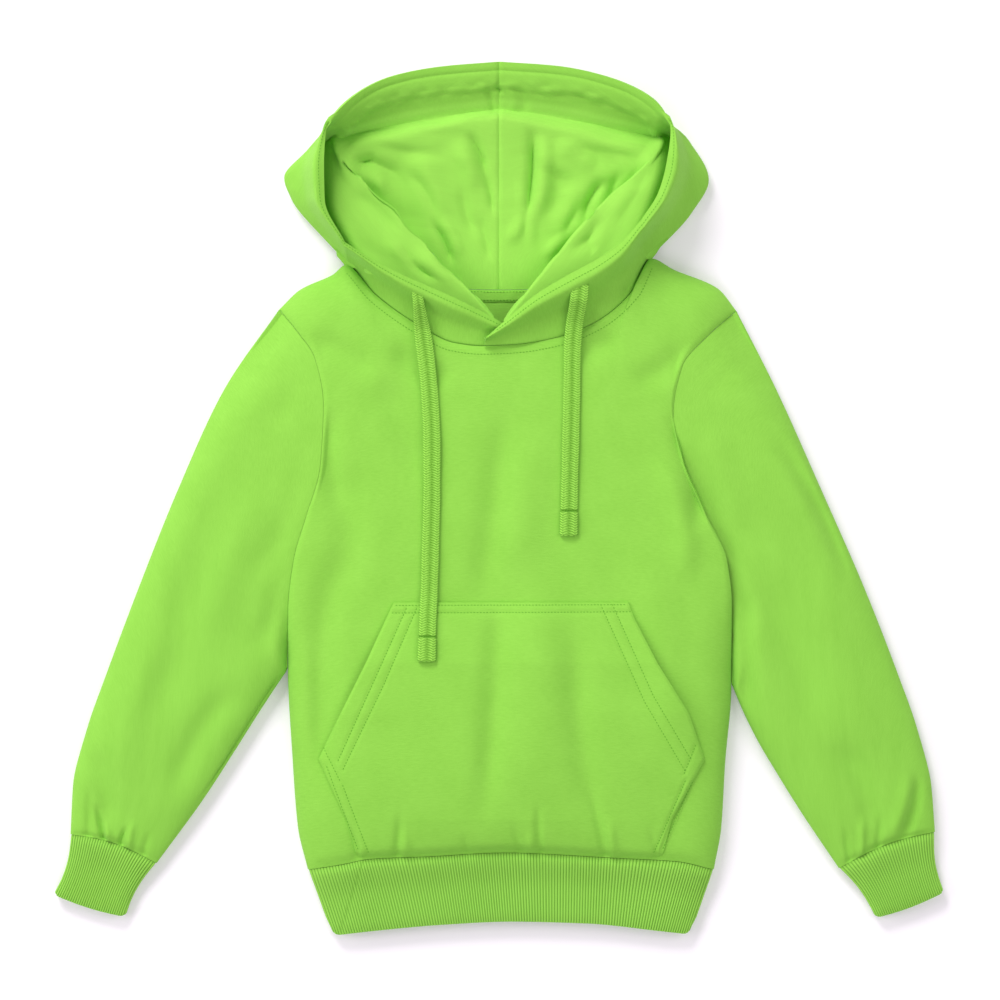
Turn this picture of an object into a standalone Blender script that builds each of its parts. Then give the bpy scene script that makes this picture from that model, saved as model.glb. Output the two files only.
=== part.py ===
# A child's pullover hoodie laid flat, face up, with its hood spread open.
# It lies on the XY plane: +X across the chest, +Y towards the hood, +Z up off the surface.
# Sizes below are in millimetres. MM turns them into metres when a mesh is made.
import math

import bmesh
import bpy
import numpy as np

MM = 0.001

WALL = 2.0            # fleece
RIB_WALL = 2.6        # doubled rib
GAP = 0.3             # between sewn pieces
SEAM_Z = 9.0          # height of the side, shoulder and underarm seams off the surface
BY_SEAM = 2.0         # walls this near that height stand square to it
ROLL = 34.0           # how far in from a closed edge the upper layer rolls down
UNDER_ROLL = 11.0     # the same on the layer that lies on the surface

FLEECE = (0.36, 0.80, 0.10)
RIB = (0.30, 0.69, 0.09)
CORD = (0.34, 0.80, 0.08)

# The body's two sides, from the hem seam up the side seam to the underarm (v 0.30),
# then round the armhole to the shoulder point. lift is how far the edge stands open
# between the seam's height (0) and the crown's (1).
BODY_SIDES = (
    # v,    left x,  left y, right x, right y, lift
    (0.00, -153.0, -296.0, 172.0, -296.0, 0.00),
    (0.06, -161.0, -262.0, 178.0, -262.0, 0.00),
    (0.15, -165.0, -212.0, 181.0, -212.0, 0.00),
    (0.30, -169.0, -135.0, 186.0, -148.0, 0.00),
    (0.42, -168.5, -88.0, 186.0, -86.0, 0.62),
    (0.52, -164.0, -49.0, 182.0, -49.0, 0.84),
    (0.62, -154.0, -14.0, 165.0, -12.0, 0.95),
    (0.72, -142.5, 27.0, 147.0, 30.0, 1.00),
    (0.82, -140.0, 76.0, 139.0, 70.0, 1.00),
    (0.90, -147.0, 113.0, 146.0, 106.0, 0.93),
    (0.96, -161.0, 134.0, 168.0, 132.0, 0.72),
    (1.00, -176.0, 152.0, 190.0, 151.0, 0.00),
)
UNDERARM = 0.30

# The grid lines of both body panels, close together at the rolled edges.
NEAR_EDGE = np.array([0.0, 0.00017, 0.008, 0.03, 0.08])
PANEL_U = np.concatenate([NEAR_EDGE, [.18, .24, .32, .41, .5, .59, .68, .76, .82], 1 - NEAR_EDGE[::-1]])
PANEL_V = np.concatenate([[0, .03, .10, .20, .30, .36, .42, .52, .62, .72, .82], 1 - NEAR_EDGE[::-1]])

# The crown of the body (its highest line) at stations up the body.
BODY_CROWN = (
    # v,   height
    (0.00, 21.0),
    (0.05, 25.0),
    (0.15, 27.5),
    (0.45, 27.0),
    (0.80, 26.0),
    (1.00, 24.0),
)

# The hem seam, from the left side seam to the right one.
HEM_SEAM = (
    # u,    x,      y
    (0.00, -153.0, -296.0),
    (0.08, -126.0, -291.5),
    (0.16, -102.0, -287.0),
    (0.30, -55.0, -285.0),
    (0.50, 6.0, -282.0),
    (0.62, 46.0, -283.5),
    (0.75, 88.0, -286.0),
    (0.90, 142.0, -289.0),
    (1.00, 172.0, -296.0),
)
HEM_EDGE = (
    # u,    x,      y
    (0.00, -134.0, -349.0),
    (0.10, -105.0, -345.5),
    (0.30, -45.0, -340.0),
    (0.50, 10.0, -337.5),
    (0.70, 70.0, -339.0),
    (0.90, 128.0, -345.0),
    (1.00, 154.0, -348.0),
)

# The top of the front, from shoulder point to shoulder point round the front neck.
# The neck starts at u 0.18 and ends at u 0.82.
FRONT_TOP = (
    # u,    x,      y,    lift
    (0.00, -176.0, 152.0, 0.00),
    (0.05, -159.0, 168.0, 0.00),
    (0.13, -133.0, 180.0, 0.00),
    (0.18, -122.0, 188.0, 0.00),
    (0.25, -98.0, 163.0, 0.85),
    (0.33, -66.0, 140.0, 1.00),
    (0.40, -36.0, 125.0, 1.00),
    (0.46, -14.0, 122.5, 1.00),
    (0.52, 12.0, 123.5, 1.00),
    (0.60, 46.0, 129.0, 1.00),
    (0.68, 80.0, 143.0, 1.00),
    (0.76, 106.0, 166.0, 0.80),
    (0.82, 122.0, 193.0, 0.00),
    (0.87, 140.0, 184.0, 0.00),
    (0.95, 175.0, 169.0, 0.00),
    (1.00, 190.0, 151.0, 0.00),
)
BACK_TOP = (
    # u,    x,      y,    lift
    (0.00, -176.0, 152.0, 0.00),
    (0.05, -159.0, 168.0, 0.00),
    (0.13, -133.0, 180.0, 0.00),
    (0.18, -122.0, 188.0, 0.00),
    (0.28, -88.0, 176.0, 0.90),
    (0.38, -45.0, 169.5, 1.00),
    (0.50, 0.0, 168.0, 1.00),
    (0.62, 45.0, 169.5, 1.00),
    (0.72, 88.0, 177.0, 0.90),
    (0.82, 122.0, 193.0, 0.00),
    (0.87, 140.0, 184.0, 0.00),
    (0.95, 175.0, 169.0, 0.00),
    (1.00, 190.0, 151.0, 0.00),
)

# Each sleeve, from the armhole (v 0) to the cuff seam (v 1), which bows by CUFF_BOW.
SLEEVES = {
    "left": (
        # v,  outer x, outer y, inner x, inner y, crown
        (0.00, -176.0, 152.0, -169.0, -135.0, 26.0),
        (0.16, -220.0, 88.0, -170.5, -138.0, 24.0),
        (0.32, -257.0, 8.0, -174.0, -143.0, 23.0),
        (0.47, -289.0, -72.0, -182.0, -155.0, 22.0),
        (0.60, -313.0, -136.0, -195.0, -175.0, 22.0),
        (0.72, -330.0, -184.0, -212.0, -202.0, 21.0),
        (0.84, -341.0, -228.0, -236.0, -239.0, 20.0),
        (1.00, -343.0, -268.0, -274.0, -291.0, 16.0),
    ),
    "right": (
        # v,  outer x, outer y, inner x, inner y, crown
        (0.00, 190.0, 151.0, 186.0, -148.0, 26.0),
        (0.16, 222.0, 88.0, 187.5, -151.0, 24.0),
        (0.32, 258.0, 8.0, 190.0, -157.0, 23.0),
        (0.47, 293.0, -72.0, 196.0, -171.0, 22.0),
        (0.60, 318.0, -136.0, 207.0, -193.0, 22.0),
        (0.72, 335.0, -184.0, 223.0, -220.0, 21.0),
        (0.84, 346.0, -228.0, 243.0, -252.0, 20.0),
        (1.00, 349.0, -266.0, 272.0, -295.0, 16.0),
    ),
}
CUFFS = {
    # opening's outer corner, inner corner
    "left": ((-357.0, -316.0), (-299.0, -334.0)),
    "right": ((357.0, -314.0), (301.0, -335.0)),
}
CUFF_BOW = 5.0        # the cuff seam bows towards the elbow, the opening away from it
CUFF_CROWN = 12.0
WAIST_CROWN = 15.0
WAIST_SEAM_Z = 7.5

# The hood, half by half. A row runs from the rim of the face opening over its roll and
# down the outside to the fold on the surface, back inside beside the rim (valley), over
# the pleat (ridge), under it (foot) and on to the neck seam.
# Rows before the shoulder are sewn to the front neck at neck_u and end there.
# lean is 1 where the rim stands inside the fold, 0 where it lies out over the edge.
HOOD_FRONT = {
    "left": (
        # rim x, rim y, rim z, neck_u, raise
        (13.0, 134.5, 25.0, 0.520, 0.0),
        (-2.0, 143.5, 28.5, 0.470, 0.0),
        (-28.0, 157.0, 35.0, 0.405, 0.0),
        (-56.0, 169.5, 39.0, 0.340, 0.0),
        (-80.0, 180.0, 43.0, 0.275, 0.0),
        (-102.0, 191.5, 46.0, 0.220, 0.0),
        (-122.0, 204.0, 50.0, 0.181, 0.0),
    ),
    "right": (
        # rim x, rim y, rim z, neck_u, raise
        (-10.0, 129.5, 32.0, 0.465, 4.0),
        (5.0, 142.5, 36.0, 0.515, 4.0),
        (30.0, 163.5, 40.0, 0.580, 1.0),
        (56.0, 179.0, 43.0, 0.640, 0.0),
        (79.0, 191.5, 45.0, 0.705, 0.0),
        (97.0, 204.0, 48.0, 0.770, 0.0),
        (113.0, 222.0, 51.0, 0.819, 0.0),
    ),
}
HOOD_OUTSIDE = {
    "left": (
        # rim x, rim y, rim z,   out x, out y, out z, lean
        (-122.0, 204.0, 50.0, -122.5, 190.0, 9.6, 1.0),
        (-138.0, 238.0, 53.0, -166.0, 240.0, 9.0, 1.0),
        (-138.5, 266.0, 54.0, -172.0, 258.0, 9.0, 1.0),
        (-137.0, 293.0, 49.0, -152.0, 281.0, 13.0, 1.0),
        (-124.0, 314.0, 43.0, -124.0, 314.0, 43.0, 0.0),
        (-87.0, 336.0, 37.0, -87.0, 336.0, 37.0, 0.0),
        (-46.0, 344.5, 33.0, -46.0, 344.5, 33.0, 0.0),
        (0.0, 348.5, 31.0, 0.0, 348.5, 31.0, 0.0),
    ),
    "right": (
        # rim x, rim y, rim z,   out x, out y, out z, lean
        (113.0, 222.0, 51.0, 122.5, 195.0, 9.6, 1.0),
        (126.0, 243.0, 54.0, 154.0, 229.0, 9.0, 1.0),
        (132.5, 266.0, 54.0, 168.0, 256.0, 9.0, 1.0),
        (136.0, 293.0, 49.0, 152.0, 287.0, 13.0, 1.0),
        (127.0, 314.0, 43.0, 127.0, 314.0, 43.0, 0.0),
        (90.0, 335.0, 37.0, 90.0, 335.0, 37.0, 0.0),
        (46.0, 345.0, 33.0, 46.0, 345.0, 33.0, 0.0),
        (0.0, 348.5, 31.0, 0.0, 348.5, 31.0, 0.0),
    ),
}
# Inside the hood, a row for each row of HOOD_OUTSIDE. The first and last are at the
# shoulder and on the centre seam.
HOOD_INSIDE = {
    "left": (
        # valley x, y, z,      ridge x, y, z,        foot x, y, z,          neck x
        (-98.0, 179.0, 17.0, -5.0, 144.5, 21.0, -18.0, 160.0, 14.0, -112.0),
        (-129.0, 233.0, 9.0, -46.0, 187.0, 24.0, -50.0, 178.0, 7.0, -94.0),
        (-131.0, 262.0, 8.0, -84.0, 230.0, 25.0, -76.0, 215.0, 6.0, -70.0),
        (-133.0, 286.0, 8.0, -121.0, 266.0, 23.0, -102.0, 243.0, 8.0, -52.0),
        (-120.0, 291.0, 6.0, -116.0, 280.0, 19.0, -99.0, 258.0, 13.0, -40.0),
        (-91.0, 297.0, 4.0, -88.0, 288.0, 20.0, -78.0, 268.0, 15.0, -28.0),
        (-51.0, 305.0, 4.0, -50.0, 297.0, 21.0, -45.0, 275.0, 15.0, -14.0),
        (0.0, 312.0, 4.0, 0.0, 304.0, 22.0, 0.0, 279.0, 15.0, 0.0),
    ),
    "right": (
        # valley x, y, z,      ridge x, y, z,        foot x, y, z,          neck x
        (97.0, 190.0, 17.0, 5.0, 141.5, 24.0, 18.0, 160.0, 14.0, 112.0),
        (118.0, 238.0, 9.0, 44.0, 190.0, 25.0, 50.0, 180.0, 7.0, 94.0),
        (125.0, 262.0, 8.0, 84.0, 236.0, 25.0, 76.0, 218.0, 6.0, 70.0),
        (131.0, 286.0, 8.0, 121.0, 270.0, 23.0, 102.0, 246.0, 8.0, 52.0),
        (122.0, 291.0, 6.0, 114.0, 279.0, 19.0, 99.0, 257.0, 13.0, 40.0),
        (91.0, 296.0, 4.0, 87.0, 286.0, 20.0, 78.0, 266.0, 15.0, 28.0),
        (49.0, 305.0, 4.0, 48.0, 296.0, 21.0, 44.0, 274.0, 15.0, 14.0),
        (0.0, 312.0, 4.0, 0.0, 304.0, 22.0, 0.0, 279.0, 15.0, 0.0),
    ),
}

# The pouch pocket on the front, a row for each height: its two edges and how far they
# and its middle stand off the front.
POCKET = (
    # y,     left x, right x, edge off, middle off
    (-279.0, -112.0, 129.0, 0.0, 2.0),
    (-255.0, -122.0, 138.0, 0.0, 5.0),
    (-207.0, -144.0, 164.0, 0.0, 7.5),
    (-170.0, -126.0, 151.0, 5.0, 8.0),
    (-130.0, -106.0, 126.0, 5.0, 7.5),
    (-95.0, -90.0, 108.0, 0.8, 3.0),
    (-82.0, -84.0, 103.0, 0.0, 0.0),
)
POCKET_GAP = 0.5
POCKET_WALL = 2.0

NECK_TAPE_WIDTH = 9.5
NECK_TAPE_WALL = 1.2
NECK_TAPE_REACH = 0.16

# The two ends of the drawstring, from under the rim's roll to the sewn tip.
CORD_WIDTH = 14.0
CORD_THICKNESS = 3.2
CORDS = {
    # x, y, z of the cord's middle
    "left": ((-64.0, 157.0, 38.6), (-62.8, 148.0, 34.4), (-61.0, 134.0, 28.6), (-58.0, 112.0, 27.0),
             (-55.0, 80.0, 27.6), (-53.5, 45.0, 28.1), (-53.5, 8.0, 28.5), (-54.5, -35.0, 28.8),
             (-55.5, -72.0, 29.9), (-56.5, -93.0, 34.3), (-57.5, -129.0, 38.7)),
    "right": ((63.6, 160.0, 41.4), (62.2, 151.0, 36.2), (60.0, 138.0, 29.5), (58.5, 118.0, 26.9),
              (58.0, 84.0, 27.5), (57.0, 40.0, 28.2), (56.0, 0.0, 28.5), (55.5, -29.0, 28.8)),
}


def table(rows, at):
    """A table's columns at any value of its first one."""
    rows = np.asarray(rows, float)
    return smooth(rows[:, 0], rows[:, 1:], at)


def smooth(knots, values, at):
    """A cubic through the rows that keeps their turning points."""
    at = np.clip(np.asarray(at, float), knots[0], knots[-1])
    step = np.diff(knots)[:, None]
    rise = np.diff(values, axis=0) / step
    before = rise[:-1]
    after = rise[1:]
    same = before * after > 0
    total = np.where(same, before + after, 1.0)
    slope = np.zeros_like(values)
    slope[1:-1] = np.where(same, 2 * before * after / total, 0.0)
    slope[0] = rise[0]
    slope[-1] = rise[-1]
    cell = np.clip(np.searchsorted(knots, at, side="right") - 1, 0, len(knots) - 2)
    width = step[cell, 0]
    t = ((at - knots[cell]) / width)[..., None]
    width = width[..., None]
    return (
        (1 + 2 * t) * (1 - t) ** 2 * values[cell]
        + t * (1 - t) ** 2 * width * slope[cell]
        + t ** 2 * (3 - 2 * t) * values[cell + 1]
        + t ** 2 * (t - 1) * width * slope[cell + 1]
    )


def roll_down(distance, reach):
    """A quarter of an ellipse: 0 at a closed edge, 1 once `reach` in from it."""
    t = np.clip(distance / reach, 0.0, 1.0)
    return np.sqrt(1 - (1 - t) ** 2)


def ease(t):
    t = np.clip(t, 0.0, 1.0)
    return t * t * (3 - 2 * t)


def panel_plan(u, v, top):
    """The plan of a body panel: straight lines from its hem to its top, bent near each
    side by what that side strays from such a line."""
    a = u[..., None]
    b = v[..., None]
    plan = (1 - b) * table(HEM_SEAM, u) + b * table(top, u)[..., 0:2]
    sides = table(BODY_SIDES, v)
    ends = table(BODY_SIDES, np.array([0.0, 1.0]))
    for columns, share in ((slice(0, 2), (1 - a) ** 4), (slice(2, 4), a ** 4)):
        straight = (1 - b) * ends[0, columns] + b * ends[1, columns]
        plan = plan + share * (sides[..., columns] - straight)
    return plan


def openness(u, v, top, reach):
    """1 on the open face of a panel, falling to 0 at its closed edges."""
    plan = panel_plan(u, v, top)
    sides = table(BODY_SIDES, v)
    lift = sides[..., 4]
    from_left = np.hypot(plan[..., 0] - sides[..., 0], plan[..., 1] - sides[..., 1])
    from_right = np.hypot(plan[..., 0] - sides[..., 2], plan[..., 1] - sides[..., 3])
    high = table(top, u)
    from_top = np.hypot(plan[..., 0] - high[..., 0], plan[..., 1] - high[..., 1])
    face = lift + (1 - lift) * roll_down(from_left, reach)
    face = face * (lift + (1 - lift) * roll_down(from_right, reach))
    return face * (high[..., 2] + (1 - high[..., 2]) * roll_down(from_top, reach))


def front_points(u, v):
    u, v = np.broadcast_arrays(np.asarray(u, float), np.asarray(v, float))
    crown = table(BODY_CROWN, v)[..., 0]
    low = SEAM_Z + GAP / 2
    height = low + (crown - low) * openness(u, v, FRONT_TOP, ROLL)
    return np.concatenate([panel_plan(u, v, FRONT_TOP), height[..., None]], axis=-1)


def back_points(u, v):
    u, v = np.broadcast_arrays(np.asarray(u, float), np.asarray(v, float))
    low = SEAM_Z - GAP / 2
    height = low * (1 - openness(u, v, BACK_TOP, UNDER_ROLL))
    return np.concatenate([panel_plan(u, v, BACK_TOP), height[..., None]], axis=-1)


def section_lift(across, width, reach):
    """The height of a tube's section: rolled down at both of its edges."""
    return roll_down(across * width, reach) * roll_down((1 - across) * width, reach)


def edge_spacing(count, gather=1.7):
    """Values from 0 to 1 that crowd towards both ends."""
    t = np.linspace(-1, 1, count)
    return 0.5 + 0.5 * np.sign(t) * (1 - (1 - np.abs(t)) ** gather)


def grid_faces(rows, columns, closed=False, skip=None):
    """Quads of a grid of points, row by row. `closed` joins the last column to the first."""
    faces = []
    last = columns if closed else columns - 1
    for r in range(rows - 1):
        for c in range(last):
            if skip is not None and skip(r, c):
                continue
            d = (c + 1) % columns
            faces.append((r * columns + c, r * columns + d, (r + 1) * columns + d, (r + 1) * columns + c))
    return faces


def material(name, colour, roughness):
    found = bpy.data.materials.get(name)
    if found:
        return found
    made = bpy.data.materials.new(name)
    made.use_nodes = True
    shader = made.node_tree.nodes["Principled BSDF"]
    shader.inputs["Base Color"].default_value = (*colour, 1.0)
    shader.inputs["Roughness"].default_value = roughness
    shader.inputs["Metallic"].default_value = 0.0
    return made


def cloth(name, points, faces, wall, finish, outward, hold=None):
    """A cloth wall: the outer points, the same points moved in by the wall along their
    normals, and a rim round every open edge. hold has 0 for each point and axis that the
    move leaves alone, so that walls meet squarely at a seam."""
    outer = points.reshape(-1, 3)
    quads = np.array(faces)
    if not outward:
        quads = quads[:, ::-1]
    across = outer[quads[:, 2]] - outer[quads[:, 0]]
    along = outer[quads[:, 3]] - outer[quads[:, 1]]
    facing = np.cross(across, along)
    facing /= np.linalg.norm(facing, axis=1)[:, None]
    normal = np.zeros_like(outer)
    for corner in range(4):
        np.add.at(normal, quads[:, corner], facing)
    if hold is not None:
        normal *= hold.reshape(-1, 3)
    size = np.linalg.norm(normal, axis=1)
    normal /= np.where(size > 0, size, 1.0)[:, None]
    count = len(outer)
    both = np.vstack([outer, outer - normal * wall])
    edges = {(int(quad[i]), int(quad[(i + 1) % 4])) for quad in quads for i in range(4)}
    rim = [(b, a, a + count, b + count) for a, b in sorted(edges) if (b, a) not in edges]
    walls = [tuple(map(int, quad)) for quad in quads]
    walls += [tuple(int(index) + count for index in quad[::-1]) for quad in quads]
    mesh = bpy.data.meshes.new(name)
    mesh.from_pydata((both * MM).tolist(), [], walls + rim)
    shape = bmesh.new()
    shape.from_mesh(mesh)
    bmesh.ops.delete(shape, geom=[v for v in shape.verts if not v.link_faces], context="VERTS")
    shape.to_mesh(mesh)
    shape.free()
    mesh.shade_smooth()
    mesh.set_sharp_from_angle(angle=math.radians(50))
    piece = bpy.data.objects.new(name, mesh)
    piece.data.materials.append(finish)
    garment.objects.link(piece)
    return piece


def body_panels():
    across, up = np.meshgrid(PANEL_U, PANEL_V)
    faces = grid_faces(len(PANEL_V), len(PANEL_U))
    for name, top, make in (("front", FRONT_TOP, front_points), ("back", BACK_TOP, back_points)):
        at_side = (across == 0) | (across == 1)
        at_top = up == 1
        side_lift = table(BODY_SIDES, up)[..., 4]
        top_lift = table(top, across)[..., 2]
        closed = (at_side & (side_lift < 0.4)) | (at_top & (top_lift < 0.3))
        sewn = (at_side | at_top) & ~closed
        points = make(across, up)
        by_seam = np.abs(points[..., 2] - SEAM_Z) < BY_SEAM
        hold = np.ones_like(points)
        hold[closed | (by_seam & ~sewn), 2] = 0.0
        hold[sewn, 0:2] = 0.0
        cloth(name, points, faces, WALL, fleece, name == "front", hold)


def panel_edge(make, lines, at, fixed, vertical):
    """A body panel's edge as it is faceted: straight between its grid lines."""
    if vertical:
        corners = make(np.full(len(lines), fixed), lines)
    else:
        corners = make(lines, np.full(len(lines), fixed))
    return np.stack([np.interp(at, lines, corners[:, axis]) for axis in range(3)], axis=-1)


def beside(line, gap):
    """A line moved sideways in plan, to its left as it runs."""
    along = np.gradient(line[:, 0:2], axis=0)
    along /= np.linalg.norm(along, axis=1)[:, None]
    moved = line.copy()
    moved[:, 0] -= along[:, 1] * gap
    moved[:, 1] += along[:, 0] * gap
    return moved


def sleeve(side):
    """A sleeve: a ring for each station, upper layer then lower. Its first ring is the
    armhole, and the next few ease from that to a plain flattened section."""
    hole_v = np.append(PANEL_V[PANEL_V >= UNDERARM], UNDERARM + 0.015)
    hole_v = np.sort(hole_v)[::-1]
    across = (1 - hole_v) / (1 - UNDERARM)
    stations = np.array([0, .05, .12, .21, .32, .44, .56, .68, .80, .91, 1])
    table_rows = table(SLEEVES[side], stations)
    edge = 0.0 if side == "left" else 1.0
    turn = 1 if side == "left" else -1
    hole = [
        beside(panel_edge(make, PANEL_V, hole_v[::-1], edge, True), GAP * 1.2 * turn)[::-1]
        for make in (front_points, back_points)
    ]
    rings = []
    for v, row in zip(stations, table_rows):
        outer = row[0:2]
        inner = row[2:4]
        width = math.dist(outer, inner)
        chord = outer + (inner - outer) * across[:, None]
        first = table_rows[0]
        first_chord = first[0:2] + (first[2:4] - first[0:2]) * across[:, None]
        near = 1 - ease(v / 0.30)
        seam_bow = np.sin(math.pi * across) * CUFF_BOW * ease((v - 0.7) / 0.3)
        heights = (
            SEAM_Z + (row[4] - SEAM_Z) * section_lift(across, width, ROLL),
            SEAM_Z * (1 - section_lift(across, width, UNDER_ROLL)),
        )
        layers = []
        for edge_line, height in zip(hole, heights):
            plan = chord + (edge_line[:, 0:2] - first_chord) * near
            plan[:, 1] += seam_bow
            z = edge_line[:, 2] * near + height * (1 - near)
            layers.append(np.column_stack([plan, z]))
        for end in (0, -1):
            layers[0][end] = (layers[0][end] + layers[1][end]) / 2
        rings.append(np.vstack([layers[0], layers[1][-2:0:-1]]))
    points = np.array(rings)
    hold = np.ones_like(points)
    open_edge = np.abs(points[0, :, 2] - SEAM_Z) > SEAM_Z / 2
    hold[0, open_edge, 0:2] = 0.0
    faces = grid_faces(len(stations), points.shape[1], closed=True)
    cloth("sleeve_" + side, points, faces, WALL, fleece, side == "right", hold)


def flat_ring(line, seam, crown, reach):
    """One ring of a flattened tube whose two layers share a line in plan."""
    run = np.concatenate([[0.0], np.cumsum(np.hypot(*np.diff(line, axis=0).T))])
    share = run / run[-1]
    upper = np.column_stack([line, seam + (crown - seam) * section_lift(share, run[-1], reach)])
    lower = np.column_stack([line, seam * (1 - section_lift(share, run[-1], UNDER_ROLL))])
    return np.vstack([upper, lower[-2:0:-1]])


def cuff(side):
    across = edge_spacing(9)
    start = table(SLEEVES[side], np.array(1.0))
    outer_end, inner_end = (np.array(corner) for corner in CUFFS[side])
    along = np.array([0.0, 0.07, 0.35, 0.9, 1.0])
    rings = []
    for v in along:
        outer = start[0:2] + (outer_end - start[0:2]) * v
        inner = start[2:4] + (inner_end - start[2:4]) * v
        line = outer + (inner - outer) * across[:, None]
        line[:, 1] += np.sin(math.pi * across) * CUFF_BOW * (1 - 1.4 * v) - GAP * 1.3
        change = ease(v * 2)
        seam = SEAM_Z + (CUFF_CROWN / 2 - SEAM_Z) * change
        crown = start[4] + (CUFF_CROWN - start[4]) * change
        rings.append(flat_ring(line, seam, crown, ROLL + (CUFF_CROWN - ROLL) * change))
    points = np.array(rings)
    faces = grid_faces(len(along), points.shape[1], closed=True)
    cloth("cuff_" + side, points, faces, RIB_WALL, rib, side == "right")


def waistband():
    across = PANEL_U
    along = np.array([0.0, 0.08, 0.45, 1.0])
    seam_line = table(HEM_SEAM, across)
    edge_line = table(HEM_EDGE, across)
    rings = []
    for v in along:
        line = seam_line + (edge_line - seam_line) * v
        line[:, 1] -= GAP * 1.5
        change = ease(v * 2)
        seam = SEAM_Z + (WAIST_SEAM_Z - SEAM_Z) * change
        crown = BODY_CROWN[0][1] + (WAIST_CROWN - BODY_CROWN[0][1]) * change
        rings.append(flat_ring(line, seam, crown, ROLL))
    points = np.array(rings)
    faces = grid_faces(len(along), points.shape[1], closed=True)
    cloth("waistband", points, faces, RIB_WALL, rib, False)


def outside_line(rim, out):
    """The crest of the rim's roll, and the hollow below it, between the rim and the fold."""
    crest = rim + (out - rim) * 0.22
    crest[:, 2] = rim[:, 2] + 1.5
    hollow = rim + (out - rim) * 0.58
    hollow[:, 2] = out[:, 2] + (rim[:, 2] - out[:, 2]) * 0.45
    return crest, hollow


def lining_line(rim, valley):
    """Where the rim lies out over the edge: three places down its inner face."""
    found = []
    for part, drop in ((0.12, 0.06), (0.38, 0.24), (0.66, 0.52)):
        place = rim + (valley - rim) * part
        place[:, 2] = rim[:, 2] + (valley[:, 2] - rim[:, 2]) * drop
        found.append(place)
    return found


def stations_along(rows, parts):
    """Each row's distance along the rim, and `parts` stations for each stretch."""
    rim = np.asarray(rows, float)[:, 0:3]
    run = np.concatenate([[0.0], np.cumsum(np.linalg.norm(np.diff(rim, axis=0), axis=1))])
    fine = [np.linspace(run[i], run[i + 1], n + 1)[:-1] for i, n in enumerate(parts)]
    return run, np.concatenate(fine + [run[-1:]])


def hood_half(side):
    """One half of the hood. Its rows before the shoulder run from the rim to the front
    neck seam only, the others on round the fold and over the pleat to the back neck."""
    turn = 1 if side == "left" else -1
    run, fine = stations_along(HOOD_FRONT[side], (2, 1, 2, 2, 2, 2))
    rows = smooth(run, np.array(HOOD_FRONT[side]), fine)
    rim = rows[:, 0:3]
    seam = beside(panel_edge(front_points, PANEL_U, rows[:, 3], 1.0, False), -GAP * 2 * turn)
    seam[:, 2] += rows[:, 4]
    crest, wall = outside_line(rim, seam)
    front = np.stack([rim, crest, wall, seam] + [seam] * 7, axis=1)

    run, fine = stations_along(HOOD_OUTSIDE[side], (3, 2, 2, 3, 1, 2, 2))
    rows = smooth(run, np.array(HOOD_OUTSIDE[side]), fine)
    inside = smooth(run, np.array(HOOD_INSIDE[side]), fine)
    rim = rows[:, 0:3]
    out = rows[:, 3:6]
    out[0] = front[-1, 3]
    lean = rows[:, 6][:, None]
    valley = inside[:, 0:3]
    ridge = inside[:, 3:6]
    foot = inside[:, 6:9]
    neck = beside(panel_edge(back_points, PANEL_U, 0.5 + inside[:, 9] / 360.0, 1.0, False), GAP * 2 * turn)
    crest, wall = outside_line(rim, out)
    folds = lining_line(rim, valley)
    crest = crest * lean + folds[0] * (1 - lean)
    wall = wall * lean + folds[1] * (1 - lean)
    out = out * lean + folds[2] * (1 - lean)
    floor = out + (valley - out) * 0.5
    floor[:, 2] = np.where(rows[:, 6] > 0.5, np.maximum(0.0, 14.0 - 14.0 * (fine - fine[0]) / 24.0), 0)
    floor[:, 2] = floor[:, 2] * rows[:, 6] + (out[:, 2] * 0.5 + valley[:, 2] * 0.5) * (1 - rows[:, 6])
    middle = (valley + ridge) / 2
    middle[:, 2] = valley[:, 2] + (ridge[:, 2] - valley[:, 2]) * 0.6
    turn = (foot + neck) / 2
    turn[:, 2] = foot[:, 2] * 0.45
    back = np.stack([rim, crest, wall, out, floor, valley, middle, ridge, foot, turn, neck], axis=1)

    points = np.concatenate([front[:-1], back])
    knots = np.arange(11.0)
    parts = np.sort(np.concatenate([knots, [0.5, 1.5, 2.5, 3.5, 4.5, 6.5, 7.5]]))
    lines = smooth(knots, points.transpose(1, 0, 2).reshape(11, -1), parts)
    lines = lines.reshape(len(parts), -1, 3).transpose(1, 0, 2)
    lines[-1, :, 0] = (-1 if side == "left" else 1) * GAP / 2
    shoulder = len(front) - 1
    seam_column = int(np.argmin(abs(parts - 3.0)))
    faces = grid_faces(len(points), len(parts), skip=lambda r, c: r < shoulder and c >= seam_column)
    hold = np.ones_like(lines)
    hold[-1, :, 0] = 0.0
    hold[:shoulder, seam_column, 0:2] = 0.0
    hold[shoulder:, -1, 0:2] = 0.0
    cloth("hood_" + side, lines, faces, WALL, fleece, side == "right", hold)


def pocket():
    y = np.array([-279, -267, -250, -229, -207, -188, -168, -146, -123, -103, -90, -82.0])
    across = edge_spacing(11, 1.4)
    found = table(POCKET, y)
    x = found[:, 0:1] + (found[:, 1:2] - found[:, 0:1]) * across
    bulge = found[:, 2:3] + (found[:, 3:4] - found[:, 2:3]) * np.sin(math.pi * across) ** 0.6
    points = np.stack([x, np.repeat(y[:, None], len(across), axis=1), np.zeros_like(x)], axis=-1)
    points[..., 2] = front_height(x, points[..., 1]) + POCKET_GAP + POCKET_WALL + bulge
    faces = grid_faces(len(y), len(across))
    cloth("pocket", points, faces, POCKET_WALL, fleece, True)


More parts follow.
